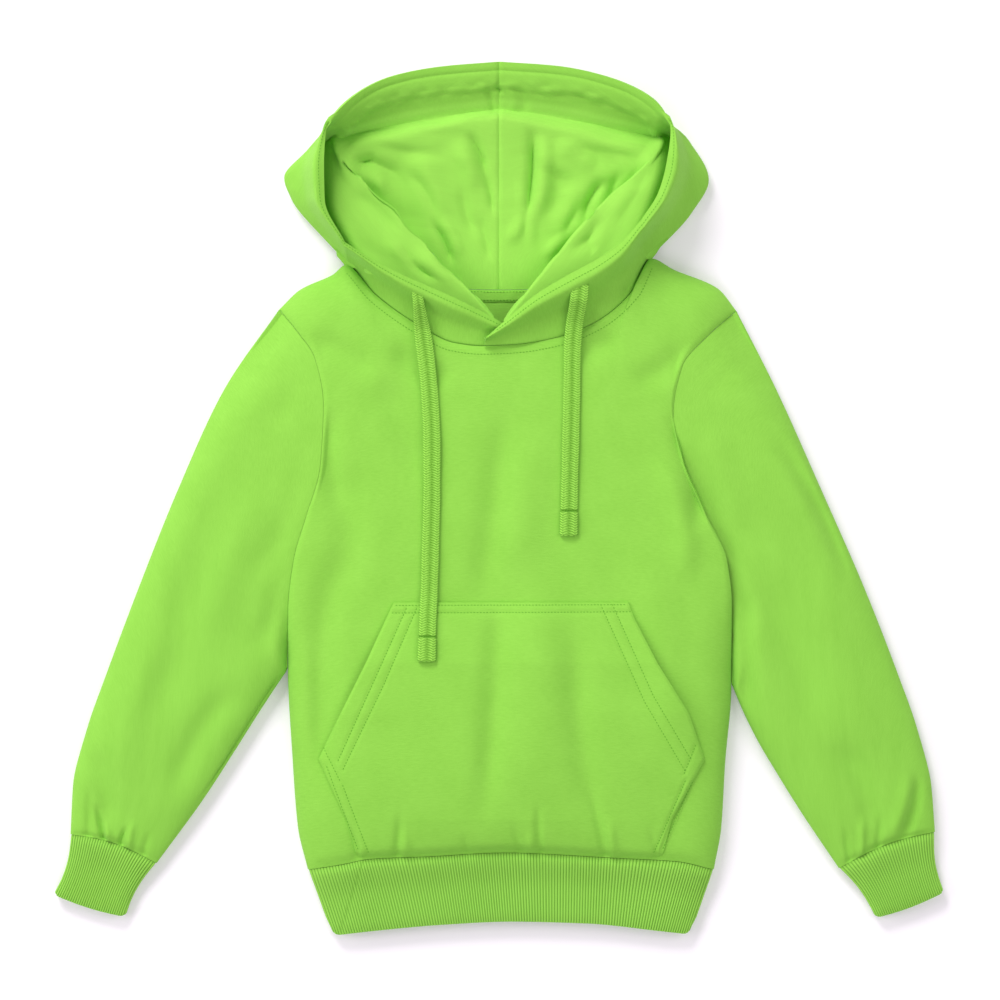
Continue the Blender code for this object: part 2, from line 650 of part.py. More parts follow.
def front_height(x, y):
    """The height of the front over a place: the patch is solved by a few steps."""
    u = np.clip((x + 160) / 330, 0.02, 0.98)
    v = np.clip((y + 290) / 450, 0.0, 1.0)
    for _ in range(30):
        plan = panel_plan(u, v, FRONT_TOP)
        u = np.clip(u + (x - plan[..., 0]) / 340, 0.0, 1.0)
        v = np.clip(v + (y - plan[..., 1]) / 470, 0.0, 1.0)
    return front_points(u, v)[..., 2]


def neck_tape():
    """The tape over the back neck seam, on the inside of the back."""
    across = np.linspace(0.5 - NECK_TAPE_REACH, 0.5 + NECK_TAPE_REACH, 9)
    edge = panel_edge(back_points, PANEL_U, across, 1.0, False)
    rows = []
    for down in (0.5, NECK_TAPE_WIDTH / 2, NECK_TAPE_WIDTH):
        line = edge.copy()
        line[:, 1] -= down
        line[:, 2] = WALL + GAP + NECK_TAPE_WALL
        rows.append(line)
    points = np.array(rows)
    faces = grid_faces(len(rows), len(across))
    cloth("neck_tape", points, faces, NECK_TAPE_WALL, fleece, False)


def drawstring(side):
    """A flat cord: a ribbon with round edges along its route."""
    route = np.array(CORDS[side])
    run = np.concatenate([[0.0], np.cumsum(np.linalg.norm(np.diff(route, axis=0), axis=1))])
    places = smooth(run, route, np.linspace(0, run[-1], len(route)))
    curve = bpy.data.curves.new("drawstring_" + side, "CURVE")
    curve.dimensions = "3D"
    curve.twist_mode = "Z_UP"
    curve.extrude = (CORD_WIDTH - CORD_THICKNESS) / 2 * MM
    curve.bevel_depth = CORD_THICKNESS / 2 * MM
    curve.bevel_resolution = 2
    curve.use_fill_caps = True
    line = curve.splines.new("POLY")
    line.points.add(len(places) - 1)
    for point, place in zip(line.points, places * MM):
        point.co = (*place, 1.0)
        point.tilt = math.pi / 2
    piece = bpy.data.objects.new("drawstring_" + side, curve)
    piece.data.materials.append(cord)
    garment.objects.link(piece)


for old in list(bpy.data.objects):
    bpy.data.objects.remove(old, do_unlink=True)
garment = bpy.data.collections.new("pullover_hoodie")
bpy.context.scene.collection.children.link(garment)
fleece = material("fleece", FLEECE, 0.95)
rib = material("rib", RIB, 0.95)
cord = material("cord", CORD, 0.9)

body_panels()
waistband()
for half in ("left", "right"):
    sleeve(half)
    cuff(half)
    hood_half(half)
pocket()
neck_tape()
for half in ("left", "right"):
    drawstring(half)
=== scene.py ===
# A child's pullover hoodie laid flat, face up, its hood spread open.
# X runs across the chest, Y towards the hood, Z up off the floor.
import math
import bpy
import numpy as np
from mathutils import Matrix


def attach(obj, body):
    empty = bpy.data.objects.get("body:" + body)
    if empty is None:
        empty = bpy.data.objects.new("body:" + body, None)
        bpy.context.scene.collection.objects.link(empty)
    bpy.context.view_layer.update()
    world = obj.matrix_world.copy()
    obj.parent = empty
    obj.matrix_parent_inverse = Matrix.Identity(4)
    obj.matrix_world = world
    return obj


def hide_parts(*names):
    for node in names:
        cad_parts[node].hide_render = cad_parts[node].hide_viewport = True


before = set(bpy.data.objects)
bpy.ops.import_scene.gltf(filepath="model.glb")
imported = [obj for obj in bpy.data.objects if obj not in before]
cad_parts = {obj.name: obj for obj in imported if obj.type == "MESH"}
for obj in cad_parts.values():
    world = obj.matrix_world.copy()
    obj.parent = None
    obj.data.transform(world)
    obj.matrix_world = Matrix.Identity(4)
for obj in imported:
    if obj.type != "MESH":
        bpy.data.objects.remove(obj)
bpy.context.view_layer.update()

mm = 0.001          # the tables are in millimetres, the meshes in metres
gap = 0.16          # between sewn pieces
clothWall = 2.0     # how thick the fleece is
seamZ = 9.0         # height of the side, shoulder and underarm seams
upperRoll = 34.0    # how far in from a closed edge the upper layer rolls down
lowerRoll = 11.0    # the same on the layer that lies on the floor, and on the ribs' underside
underarm = 0.30     # where the armhole starts, up the side of the body


def smooth(knots, values, at):
    # a cubic through the rows whose slope at a row is the harmonic mean of the slopes
    # on both sides of it, and 0 at a turning point
    knots = np.asarray(knots, float)
    values = np.asarray(values, float)
    at = np.clip(np.asarray(at, float), knots[0], knots[-1])
    step = np.diff(knots)[:, None]
    rise = np.diff(values, axis=0) / step
    before = rise[:-1]
    after = rise[1:]
    same = before * after > 0
    total = np.where(same, before + after, 1.0)
    slope = np.zeros_like(values)
    slope[1:-1] = np.where(same, 2 * before * after / total, 0.0)
    slope[0] = rise[0]
    slope[-1] = rise[-1]
    cell = np.clip(np.searchsorted(knots, at, side="right") - 1, 0, len(knots) - 2)
    width = step[cell, 0]
    t = ((at - knots[cell]) / width)[..., None]
    width = width[..., None]
    return (
        (1 + 2 * t) * (1 - t) ** 2 * values[cell]
        + t * (1 - t) ** 2 * width * slope[cell]
        + t ** 2 * (3 - 2 * t) * values[cell + 1]
        + t ** 2 * (t - 1) * width * slope[cell + 1]
    )


def table(rows, at):
    # a list read at values of its first column
    rows = np.asarray(rows, float)
    return smooth(rows[:, 0], rows[:, 1:], at)


def rollDown(distance, reach):
    # a quarter of an ellipse: 0 at the edge, 1 once reach in from it
    t = np.clip(distance / reach, 0.0, 1.0)
    return np.sqrt(1 - (1 - t) ** 2)


def ease(t):
    # from 0 to 1, level at both ends
    t = np.clip(t, 0.0, 1.0)
    return t * t * (3 - 2 * t)


def window(value, start, fadeIn, end, fadeOut):
    # 0 outside start and end, 1 between them, eased over the two fades
    return ease((value - start) / fadeIn) * ease((end - value) / fadeOut)


def bell(distance, width):
    # 1 at distance 0, falling off as a bell curve
    return np.exp(-(distance / width) ** 2)


def edgeSpacing(count, gather=1.7):
    # values from 0 to 1 that crowd towards both ends
    t = np.linspace(-1, 1, count)
    return 0.5 + 0.5 * np.sign(t) * (1 - (1 - np.abs(t)) ** gather)


def runLength(line):
    # how far along a line each of its points is
    steps = np.linalg.norm(np.diff(line, axis=0), axis=1)
    return np.concatenate([[0.0], np.cumsum(steps)])


def beside(line, distance):
    # a line moved sideways in plan, to its left as it runs
    along = np.gradient(line[:, 0:2], axis=0)
    along /= np.linalg.norm(along, axis=1)[:, None]
    moved = line.copy()
    moved[:, 0] -= along[:, 1] * distance
    moved[:, 1] += along[:, 0] * distance
    return moved


def waves(x, y, lengths, seed):
    # a smooth uneven field of about -1 to 1: a few sine waves in set directions
    total = np.zeros_like(x)
    for number, length in enumerate(lengths):
        turn = seed * 1.7 + number * 2.4
        phase = seed * 3.1 + number * 1.3
        along = x * math.cos(turn) + y * math.sin(turn)
        total += np.sin(along * 2 * math.pi / length + phase)
    return total / len(lengths)


def folded(x, y, rows):
    # the height that a list of creases adds: each a bell across its line, bent by its
    # bow, that fades out at both ends
    total = np.zeros_like(x)
    for x0, y0, x1, y1, width, depth, bow in rows:
        length = math.hypot(x1 - x0, y1 - y0)
        ax, ay = (x1 - x0) / length, (y1 - y0) / length
        t = ((x - x0) * ax + (y - y0) * ay) / length
        across = (y - y0) * ax - (x - x0) * ay - bow * 4 * t * (1 - t)
        total += depth * bell(across, width) * window(t, -0.12, 0.4, 1.12, 0.4)
    return total


def gridQuads(rows, columns, closed):
    # the four-sided faces of a grid, joined round along its columns where it is closed
    start = np.arange(rows - 1)[:, None] * columns
    here = np.arange(columns if closed else columns - 1)
    there = (here + 1) % columns
    above = start + columns
    return np.stack([start + here, start + there, above + there, above + here], axis=-1)


def endCaps(rows, around):
    # ladders of four-sided faces that close the first and the last ring of a tube
    i = np.arange(around // 2 - 1)
    ladder = np.stack([i, i + 1, around - 2 - i, around - 1 - i], axis=-1)
    return np.vstack([ladder[:, ::-1], ladder + (rows - 1) * around])


def pointNormals(points, quads):
    # at each point, the sum of the directions that its faces look in
    across = points[quads[:, 2]] - points[quads[:, 0]]
    along = points[quads[:, 3]] - points[quads[:, 1]]
    facing = np.cross(across, along)
    facing /= np.maximum(np.linalg.norm(facing, axis=1), 1e-12)[:, None]
    normal = np.zeros_like(points)
    for corner in range(4):
        np.add.at(normal, quads[:, corner], facing)
    return normal


def fillMesh(name, points, quads, finish):
    # millimetres in, metres out; smooth, but for edges sharper than 52 degrees
    mesh = bpy.data.meshes.new(name)
    mesh.vertices.add(len(points))
    mesh.vertices.foreach_set("co", (points * mm).astype(np.float32).ravel())
    mesh.loops.add(quads.size)
    mesh.loops.foreach_set("vertex_index", quads.astype(np.int32).ravel())
    mesh.polygons.add(len(quads))
    mesh.polygons.foreach_set("loop_start", np.arange(0, quads.size, 4, dtype=np.int32))
    mesh.update(calc_edges=True)
    mesh.shade_smooth()
    mesh.set_sharp_from_angle(angle=math.radians(52))
    mesh.materials.append(finish)
    piece = bpy.data.objects.new(name, mesh)
    bpy.context.scene.collection.objects.link(piece)
    return piece


def mark(piece, name, values):
    # a value at each point, for the piece's finish
    found = piece.data.attributes.new(name, "FLOAT", "POINT")
    found.data.foreach_set("value", values.astype(np.float32).ravel())


def clothShell(name, points, finish, wall=clothWall, outward=True, closed=False, hold=None,
               relief=None, keep=None, shade=None):
    # the outer face is the grid raised by relief, the inner one the bare grid moved in by
    # the wall along its normals, and a rim closes every open edge. Hold is 0 where the
    # move leaves an axis alone, keep picks faces, and shade is painted light and shade for the finish
    rows, columns = points.shape[:2]
    quads = gridQuads(rows, columns, closed)
    if keep is not None:
        quads = quads[keep]
    quads = quads.reshape(-1, 4)
    if not outward:
        quads = quads[:, ::-1]
    outer = points.reshape(-1, 3)
    normal = pointNormals(outer, quads)
    if hold is not None:
        normal *= hold.reshape(-1, 3)
    size = np.linalg.norm(normal, axis=1)
    normal /= np.where(size > 1e-9, size, 1.0)[:, None]
    inner = outer - normal * wall
    if relief is not None:
        outer = outer + normal * relief.reshape(-1, 1)
    count = len(outer)
    starts = quads.ravel()
    ends = np.roll(quads, -1, axis=1).ravel()
    single = ~np.isin(starts * count + ends, ends * count + starts)
    a, b = starts[single], ends[single]
    rim = np.stack([b, a, a + count, b + count], axis=1)
    faces = np.vstack([quads, quads[:, ::-1] + count, rim])
    both = np.vstack([outer, inner])
    both[:, 2] = np.maximum(both[:, 2], 0.0)
    used = np.zeros(len(both), bool)
    used[faces.ravel()] = True
    place = np.cumsum(used) - 1
    piece = fillMesh(name, both[used], place[faces], finish)
    # where a point lies on the cloth, in millimetres: across its rows and along its columns
    wide = np.linalg.norm(np.diff(points, axis=1, prepend=points[:, :1]), axis=2).cumsum(axis=1)
    long = np.linalg.norm(np.diff(points, axis=0, prepend=points[:1]), axis=2).cumsum(axis=0)
    wide = wide - wide[:, columns // 2][:, None]
    for label, values in (("clothAcross", wide), ("clothAlong", long)):
        mark(piece, label, np.tile(values.ravel(), 2)[used])
    # the painted light and shade, stored under the name relief
    if shade is not None:
        mark(piece, "relief", np.tile(shade.ravel(), 2)[used])
    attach(piece, "root")
    return piece


class Wire:
    # a socket with arithmetic: each operation adds its Math node
    def __init__(self, maker, socket):
        self.maker = maker
        self.socket = socket

    def math(self, kind, first, second):
        return self.maker.node("ShaderNodeMath", {"operation": kind}, {0: first, 1: second})

    def __add__(self, other):
        return self.math("ADD", self, other)

    def __radd__(self, other):
        return self.math("ADD", other, self)

    def __sub__(self, other):
        return self.math("SUBTRACT", self, other)

    def __rsub__(self, other):
        return self.math("SUBTRACT", other, self)

    def __mul__(self, other):
        return self.math("MULTIPLY", self, other)

    def __rmul__(self, other):
        return self.math("MULTIPLY", other, self)


class Finish:
    # a material and its shader
    def __init__(self, name, roughness, sheen):
        self.material = bpy.data.materials.new(name)
        self.material.use_nodes = True
        self.tree = self.material.node_tree
        self.shader = self.tree.nodes["Principled BSDF"]
        self.shader.inputs["Roughness"].default_value = roughness
        self.shader.inputs["Sheen Weight"].default_value = sheen
        self.shader.inputs["Sheen Roughness"].default_value = 0.5
        self.shader.inputs["Specular IOR Level"].default_value = 0.15

    def link(self, value, socket):
        # joins a wire to a socket, or sets the socket to a plain value
        if isinstance(value, Wire):
            self.tree.links.new(value.socket, socket)
        else:
            socket.default_value = value

    def node(self, kind, settings=None, sockets=None, out=0):
        # settings come first, because a node's sockets depend on them
        made = self.tree.nodes.new(kind)
        for name, value in (settings or {}).items():
            setattr(made, name, value)
        for name, value in (sockets or {}).items():
            self.link(value, made.inputs[name])
        return Wire(self, made.outputs[out])

    def attribute(self, name):
        return self.node("ShaderNodeAttribute", {"attribute_name": name}, out=2)

    def mixColour(self, amount, first, second):
        sockets = {0: amount, 6: first, 7: second}
        return self.node("ShaderNodeMix", {"data_type": "RGBA"}, sockets, out=2)

    def spread(self, value, low, high):
        # 0 at low, 1 at high, straight between
        return self.node("ShaderNodeMapRange", {"clamp": True}, {0: value, 1: low, 2: high})

    def sine(self, angle):
        return self.node("ShaderNodeMath", {"operation": "SINE"}, {0: angle})

    def place(self, across, along):
        return self.node("ShaderNodeCombineXYZ", None, {0: across, 1: along})

    def noise(self, vector, scale, detail=2.0):
        sockets = {"Vector": vector, "Scale": scale, "Detail": detail}
        return self.node("ShaderNodeTexNoise", None, sockets)

    def finish(self, colour, height, strength, distance):
        # the colour, and the height as a bump in metres
        self.link(colour, self.shader.inputs["Base Color"])
        sockets = {"Strength": strength, "Distance": distance, "Height": height}
        self.link(self.node("ShaderNodeBump", None, sockets), self.shader.inputs["Normal"])
        return self.material


fleeceLook = {
    "colour": (0.293, 0.640, 0.082, 1.0),
    "shade": (0.232, 0.540, 0.058, 1.0),    # a darker tone of the knit, mixed in at random and along the loops
    "inside": (0.346, 0.732, 0.098, 1.0),   # the back of the cloth inside the hood, brighter: painted light that lifts the hollow's shade
    "stitchWidth": 1.05,                    # mm, a wale
    "stitchHeight": 0.8,                    # mm, a course
    "roughness": 0.92,
    "sheen": 0.06,
}


def fleeceFinish(name, look):
    # fine jersey: rows of small loops, uneven slubs along the courses, soft mottling, and
    # painted light: the brighter inside colour where the piece's relief is 1, inside the hood
    made = Finish(name, look["roughness"], look["sheen"])
    across = made.attribute("clothAcross")
    along = made.attribute("clothAlong")
    slub = made.noise(made.place(across * 0.16, along * 0.85), 1.0, 3.0)
    fuzz = made.noise(made.place(across, along), 1.6, 3.0)
    broad = made.noise(made.place(across, along), 0.035, 2.0)
    wale = made.sine(across * (2 * math.pi / look["stitchWidth"]))
    course = made.sine(along * (2 * math.pi / look["stitchHeight"]))
    loops = wale * course * 0.5 + 0.5
    tone = made.spread(slub, 0.30, 0.72) * 0.42 + made.spread(fuzz, 0.3, 0.7) * 0.3
    tone = tone + made.spread(broad, 0.3, 0.7) * 0.28
    colour = made.mixColour(tone, look["shade"], look["colour"])
    colour = made.mixColour(loops * 0.10, colour, look["shade"])
    paintedLightInside = made.mixColour(tone, look["colour"], look["inside"])
    colour = made.mixColour(made.attribute("relief"), colour, paintedLightInside)
    return made.finish(colour, loops * 0.35 + fuzz * 0.8 + slub * 0.9, 0.35, 0.0006)


ribLook = {
    # ridge is the lit colour, groove the painted shade between the ribs
    "ridge": (0.292, 0.615, 0.083, 1.0),
    "groove": (0.160, 0.385, 0.040, 1.0),
    "roughness": 0.92,
    "sheen": 0.05,
}


def ribFinish(name, look):
    # colour and height follow the ribs, the ridges lit and the grooves in painted shade, with small
    # loops along each rib
    made = Finish(name, look["roughness"], look["sheen"])
    across = made.attribute("clothAcross")
    along = made.attribute("clothAlong")
    height = made.attribute("relief")
    loops = made.noise(made.place(across * 0.9, along * 1.6), 1.0, 3.0)
    broad = made.noise(made.place(across, along), 0.03, 2.0)
    lit = made.spread(height, 0.0, 0.85) * 0.86 + made.spread(loops, 0.3, 0.7) * 0.14
    lit = lit * (1 - made.spread(broad, 0.6, 0.2) * 0.12)
    colour = made.mixColour(lit, look["groove"], look["ridge"])
    return made.finish(colour, height * 0.4 + loops, 0.4, 0.0006)


cordLook = {
    # strand is the lit colour, between the painted shade where the strands cross under
    "strand": (0.40, 0.80, 0.112, 1.0),
    "between": (0.055, 0.215, 0.003, 1.0),
    "roughness": 0.85,
    "sheen": 0.05,
}


def cordFinish(name, look):
    # painted light and shade: strands lit on top, in painted shade where they cross under
    made = Finish(name, look["roughness"], look["sheen"])
    height = made.attribute("relief")
    fibre = made.noise(made.node("ShaderNodeTexCoord", out=3), 1500.0, 3.0)
    lit = made.spread(height, 0.25, 1.0) * 0.72 + made.spread(fibre, 0.32, 0.68) * 0.28
    colour = made.mixColour(lit, look["between"], look["strand"])
    return made.finish(colour, height + fibre * 0.5, 0.4, 0.0004)


threadLook = {
    # both far darker than the cloth: painted shade of the dips the stitches lie in
    "light": (0.16, 0.44, 0.04, 1.0),
    "dark": (0.10, 0.33, 0.02, 1.0),
    "roughness": 0.8,
    "sheen": 0.0,
}


def threadFinish(name, look):
    # a fine fibre, light and dark at random: the cloth's green thread, darkened as painted shade of the
    # dips it sinks into
    made = Finish(name, look["roughness"], look["sheen"])
    fibre = made.noise(made.node("ShaderNodeTexCoord", out=3), 2500.0, 2.0)
    colour = made.mixColour(made.spread(fibre, 0.3, 0.7), look["dark"], look["light"])
    return made.finish(colour, fibre, 0.3, 0.0003)


fleece = fleeceFinish("brushedFleece", fleeceLook)
rib = ribFinish("twoByTwoRib", ribLook)
plait = cordFinish("plaitedCord", cordLook)
thread = threadFinish("sewingThread", threadLook)
print("finishes made")

cameraView = {"height": 4.0, "width": 0.8, "x": 0.0008, "y": -0.0004, "level": 0.012}


def setCamera(view):
    # looks straight down, and takes in view width at the level of the cloth
    camera = bpy.data.objects.new("camera", bpy.data.cameras.new("camera"))
    camera.data.sensor_width = 36
    camera.data.lens = 36 * (view["height"] - view["level"]) / view["width"]
    camera.location = (view["x"], view["y"], view["height"])
    bpy.context.scene.collection.objects.link(camera)
    bpy.context.scene.camera = camera


setCamera(cameraView)
print("camera set")

drawstring = {
    "width": 14.0,
    "thickness": 3.2,
    "plait": 2.0,           # mm along the cord for each strand of a column
    "columns": 6,           # slanted columns across the cord
    "depth": 0.5,           # mm between the strands
    "tip": 20.0,            # mm of turned and stitched end
    "tipWall": 1.1,         # mm the turned end adds on top
    "twist": {"left": 0.42, "right": 0.0},      # how much narrower it looks where it comes out
    "untwist": 44.0,        # mm over which it lies flat again
    "left": (
        # x, y, z of the cord's middle in metres
        (-0.0655, 0.1665, 0.0400), (-0.0640, 0.1570, 0.0386), (-0.0628, 0.1480, 0.0344),
        (-0.0610, 0.1340, 0.0286), (-0.0580, 0.1120, 0.0270), (-0.0550, 0.0800, 0.0276),
        (-0.0535, 0.0450, 0.0281),
        (-0.0535, 0.0080, 0.0285), (-0.0545, -0.0350, 0.0288), (-0.0555, -0.0720, 0.0299),
        (-0.0565, -0.0930, 0.0343), (-0.0575, -0.1290, 0.0387),
    ),
    "right": (
        (0.0646, 0.1710, 0.0425), (0.0636, 0.1600, 0.0414), (0.0622, 0.1510, 0.0362),
        (0.0600, 0.1380, 0.0295), (0.0585, 0.1180, 0.0269), (0.0580, 0.0840, 0.0275),
        (0.0570, 0.0400, 0.0282),
        (0.0560, 0.0000, 0.0285), (0.0555, -0.0290, 0.0288),
    ),
}


def makeDrawstring(side, look):
    # a flat tube along the route: its section is a rounded bar, and its face is raised by
    # slanted strands that change direction from column to column
    route = np.array(look[side]) / mm
    run = runLength(route)
    count = int(run[-1] / 0.45)
    s = np.linspace(0, run[-1], count)
    middle = smooth(run, route, s)
    along = np.gradient(middle, axis=0)
    along /= np.linalg.norm(along, axis=1)[:, None]
    sideways = np.cross(along, [0.0, 0.0, 1.0])
    sideways /= np.linalg.norm(sideways, axis=1)[:, None]
    up = np.cross(sideways, along)
    turn = np.linspace(0, 2 * math.pi, 56, endpoint=False)
    flat = np.sign(np.cos(turn)) * np.abs(np.cos(turn)) ** 0.55
    high = np.sign(np.sin(turn)) * np.abs(np.sin(turn)) ** 0.75
    fromTip = run[-1] - s
    atTip = ease((look["tip"] - fromTip) / 1.2)
    groove = bell(fromTip - look["tip"], 0.9)
    narrow = 1 - look["twist"][side] * ease(1 - s / look["untwist"])
    narrow = narrow + 0.05 * atTip - 0.06 * groove + 0.02 * np.sin(s / 9.0) * np.cos(s / 23.0)
    narrow = narrow * (1 - 0.18 * ease(1 - fromTip / 1.6))
    half = look["width"] / 2 * narrow
    thick = look["thickness"] / 2 * (1 - 0.55 * groove - 0.35 * ease(1 - fromTip / 1.2))
    column = (flat * 0.5 + 0.5) * look["columns"]
    slant = np.where(np.floor(column) % 2 == 0, column % 1, 1 - column % 1)
    phase = s[:, None] / look["plait"] - slant * 0.75
    strand = np.abs(np.sin(math.pi * phase)) ** 0.7
    between = np.abs(np.sin(math.pi * column)) ** 0.35
    height = strand * (0.55 + 0.45 * between)
    top = np.clip(high, 0, 1)
    raised = (height - 1) * look["depth"] * np.abs(high) + top * atTip[:, None] * look["tipWall"]
    points = (
        middle[:, None]
        + sideways[:, None] * (half[:, None] * flat)[..., None]
        + up[:, None] * (thick[:, None] * high + raised)[..., None]
    )
    # painted shade in the groove where the stitched tip starts
    bar = bell(fromTip - look["tip"], 0.8)[:, None]
    shade = np.clip(height * (1 - 0.9 * bar), 0, 1)
    # rounded ends: the section shrinks to its middle
    first = points[0].mean(axis=0)
    last = points[-1].mean(axis=0)
    ends = [first + (points[0] - first) * k for k in (0.01, 0.6)]
    tails = [last + (points[-1] - last) * k for k in (0.6, 0.01)]
    points = np.concatenate([ends, points, tails])
    shade = np.concatenate([shade[:1], shade[:1], shade, shade[-1:], shade[-1:]])
    quads = gridQuads(len(points), len(turn), True).reshape(-1, 4)
    quads = np.vstack([quads, endCaps(len(points), len(turn))])
    name = "cord_" + side
    piece = fillMesh(name, points.reshape(-1, 3), quads, plait)
    mark(piece, "relief", shade)
    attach(piece, "root")
    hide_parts("drawstring_" + side)
    path = middle[::12] * mm
    path[-1] = middle[-1] * mm
    print("cord", side, round(run[-1], 1), "mm")


for side in ("left", "right"):
    makeDrawstring(side, drawstring)

body = {
    "columns": 150,
    "rows": 215,
    "topRows": 40,          # of them, over the last tenth
    "fullness": 2.5,        # how deep the listed creases are pressed
    "seamDip": 1.0,         # mm a sewn edge is pulled down
    "seamReach": 3.0,
    "hemDip": 2.6,          # mm the fleece turns down to the rib
    "hemReach": 5.0,
    "sides": (
        # v,    left x,  left y, right x, right y, lift
        (0.00, -153, -296, 172, -296, 0.00),
        (0.06, -161, -262, 178, -262, 0.00),
        (0.15, -165, -212, 181, -212, 0.00),
        (0.30, -169, -135, 186, -148, 0.00),
        (0.42, -168.5, -88, 186, -86, 0.62),
        (0.52, -164, -49, 182, -49, 0.84),
        (0.62, -154, -14, 165, -12, 0.95),
        (0.72, -142.5, 27, 147, 30, 1.00),
        (0.82, -140, 76, 139, 70, 1.00),
        (0.90, -147, 113, 146, 106, 0.93),
        (0.96, -161, 134, 168, 132, 0.72),
        (1.00, -176, 152, 190, 151, 0.00),
    ),
    "crown": (
        # v,   height
        (0.00, 21),
        (0.05, 25),
        (0.15, 27.5),
        (0.45, 27),
        (0.80, 26),
        (1.00, 24),
    ),
    "hemSeam": (
        # u,    x,      y
        (0.00, -153, -296),
        (0.08, -126, -291.5),
        (0.16, -102, -287),
        (0.30, -55, -285),
        (0.50, 6, -282),
        (0.62, 46, -283.5),
        (0.75, 88, -286),
        (0.90, 142, -289),
        (1.00, 172, -296),
    ),
    "leftShoulder": (
        # u,    x,      y,    lift
        (0.00, -176, 152, 0.00),
        (0.05, -159, 168, 0.00),
        (0.13, -133, 180, 0.00),
        (0.18, -122, 188, 0.00),
    ),
    "frontNeck": (
        (0.25, -98, 163, 0.85),
        (0.33, -66, 140, 1.00),
        (0.40, -36, 125, 1.00),
        (0.46, -14, 122.5, 1.00),
        (0.52, 12, 123.5, 1.00),
        (0.60, 46, 129, 1.00),
        (0.68, 80, 143, 1.00),
        (0.76, 106, 166, 0.80),
    ),
    "backNeck": (
        (0.28, -88, 176, 0.90),
        (0.38, -45, 169.5, 1.00),
        (0.50, 0, 168, 1.00),
        (0.62, 45, 169.5, 1.00),
        (0.72, 88, 177, 0.90),
    ),
    "rightShoulder": (
        (0.82, 122, 193, 0.00),
        (0.87, 140, 184, 0.00),
        (0.95, 175, 169, 0.00),
        (1.00, 190, 151, 0.00),
    ),
    "creases": (
        # from x, y,     to x, y,      width, depth, bow
        # long soft folds down the body
        (5, 70, -15, -84, 12, -1.7, 2),
        (-1, -76, -12, -250, 11, -1.9, 3),
        (32, -60, 36, -225, 20, 1.5, -3),
        (60, -110, 78, -262, 12, -1.5, -4),
        (-134, -50, -141, -225, 13, -2.1, -4),
        (-120, 30, -128, -80, 14, -1.3, 5),
        (120, -30, 138, -200, 18, 1.2, 4),
        (-95, 95, -60, 20, 16, -1.4, 3),
        # pulls from the armholes
        (139, 62, 160, -20, 9, -2.4, 8),
        (128, 30, 150, -60, 10, 1.6, 6),
        (-133, 70, -126, -10, 9, -1.5, -5),
        (-150, 128, -100, 100, 10, -1.2, 3),
        (150, 122, 108, 92, 11, -1.4, 4),
        # across the chest, below the neck
        (-84, 120, -40, 96, 10, -1.6, -4),
        (64, 112, 96, 128, 10, -1.4, 3),
        (30, 60, 12, -60, 18, 1, 2),
        # gathers over the hem
        (-79, -250, -87, -306, 3.2, -0.8, 2),
        (-76, -266, -72, -304, 3.8, 0.6, 0),
        (11, -259, 19, -304, 3, -0.7, 2),
        (24, -266, 28, -302, 3.2, 0.6, 0),
        (31, -244, 38, -306, 2.8, -0.9, -2),
        (72, -232, 86, -308, 3.6, -0.9, 3),
        (88, -256, 94, -304, 3.8, 0.7, 0),
        (-29, -268, -22, -302, 3.2, -0.6, 1),
        (120, -262, 131, -306, 3.6, -0.6, 1),
        (-118, -258, -112, -308, 3.6, -0.6, 1),
    ),
}


def topLine(upper):
    # both layers share the shoulders; the neck between them is lower in front
    neck = body["frontNeck" if upper else "backNeck"]
    return body["leftShoulder"] + neck + body["rightShoulder"]


def bodyPlan(u, v, top):
    # straight lines from hem to top, bent near each side by what the side strays from one
    a = u[..., None]
    b = v[..., None]
    plan = (1 - b) * table(body["hemSeam"], u) + b * table(top, u)[..., 0:2]
    sides = table(body["sides"], v)
    ends = table(body["sides"], np.array([0.0, 1.0]))
    for columns, share in ((slice(0, 2), (1 - a) ** 4), (slice(2, 4), a ** 4)):
        straight = (1 - b) * ends[0, columns] + b * ends[1, columns]
        plan = plan + share * (sides[..., columns] - straight)
    return plan


def edgeDistances(u, v, top, plan):
    # in plan, to the left, right and top edges, and how open the side and the top are
    sides = table(body["sides"], v)
    high = table(top, u)
    left = np.hypot(plan[..., 0] - sides[..., 0], plan[..., 1] - sides[..., 1])
    right = np.hypot(plan[..., 0] - sides[..., 2], plan[..., 1] - sides[..., 3])
    above = np.hypot(plan[..., 0] - high[..., 0], plan[..., 1] - high[..., 1])
    return left, right, above, sides[..., 4], high[..., 2]


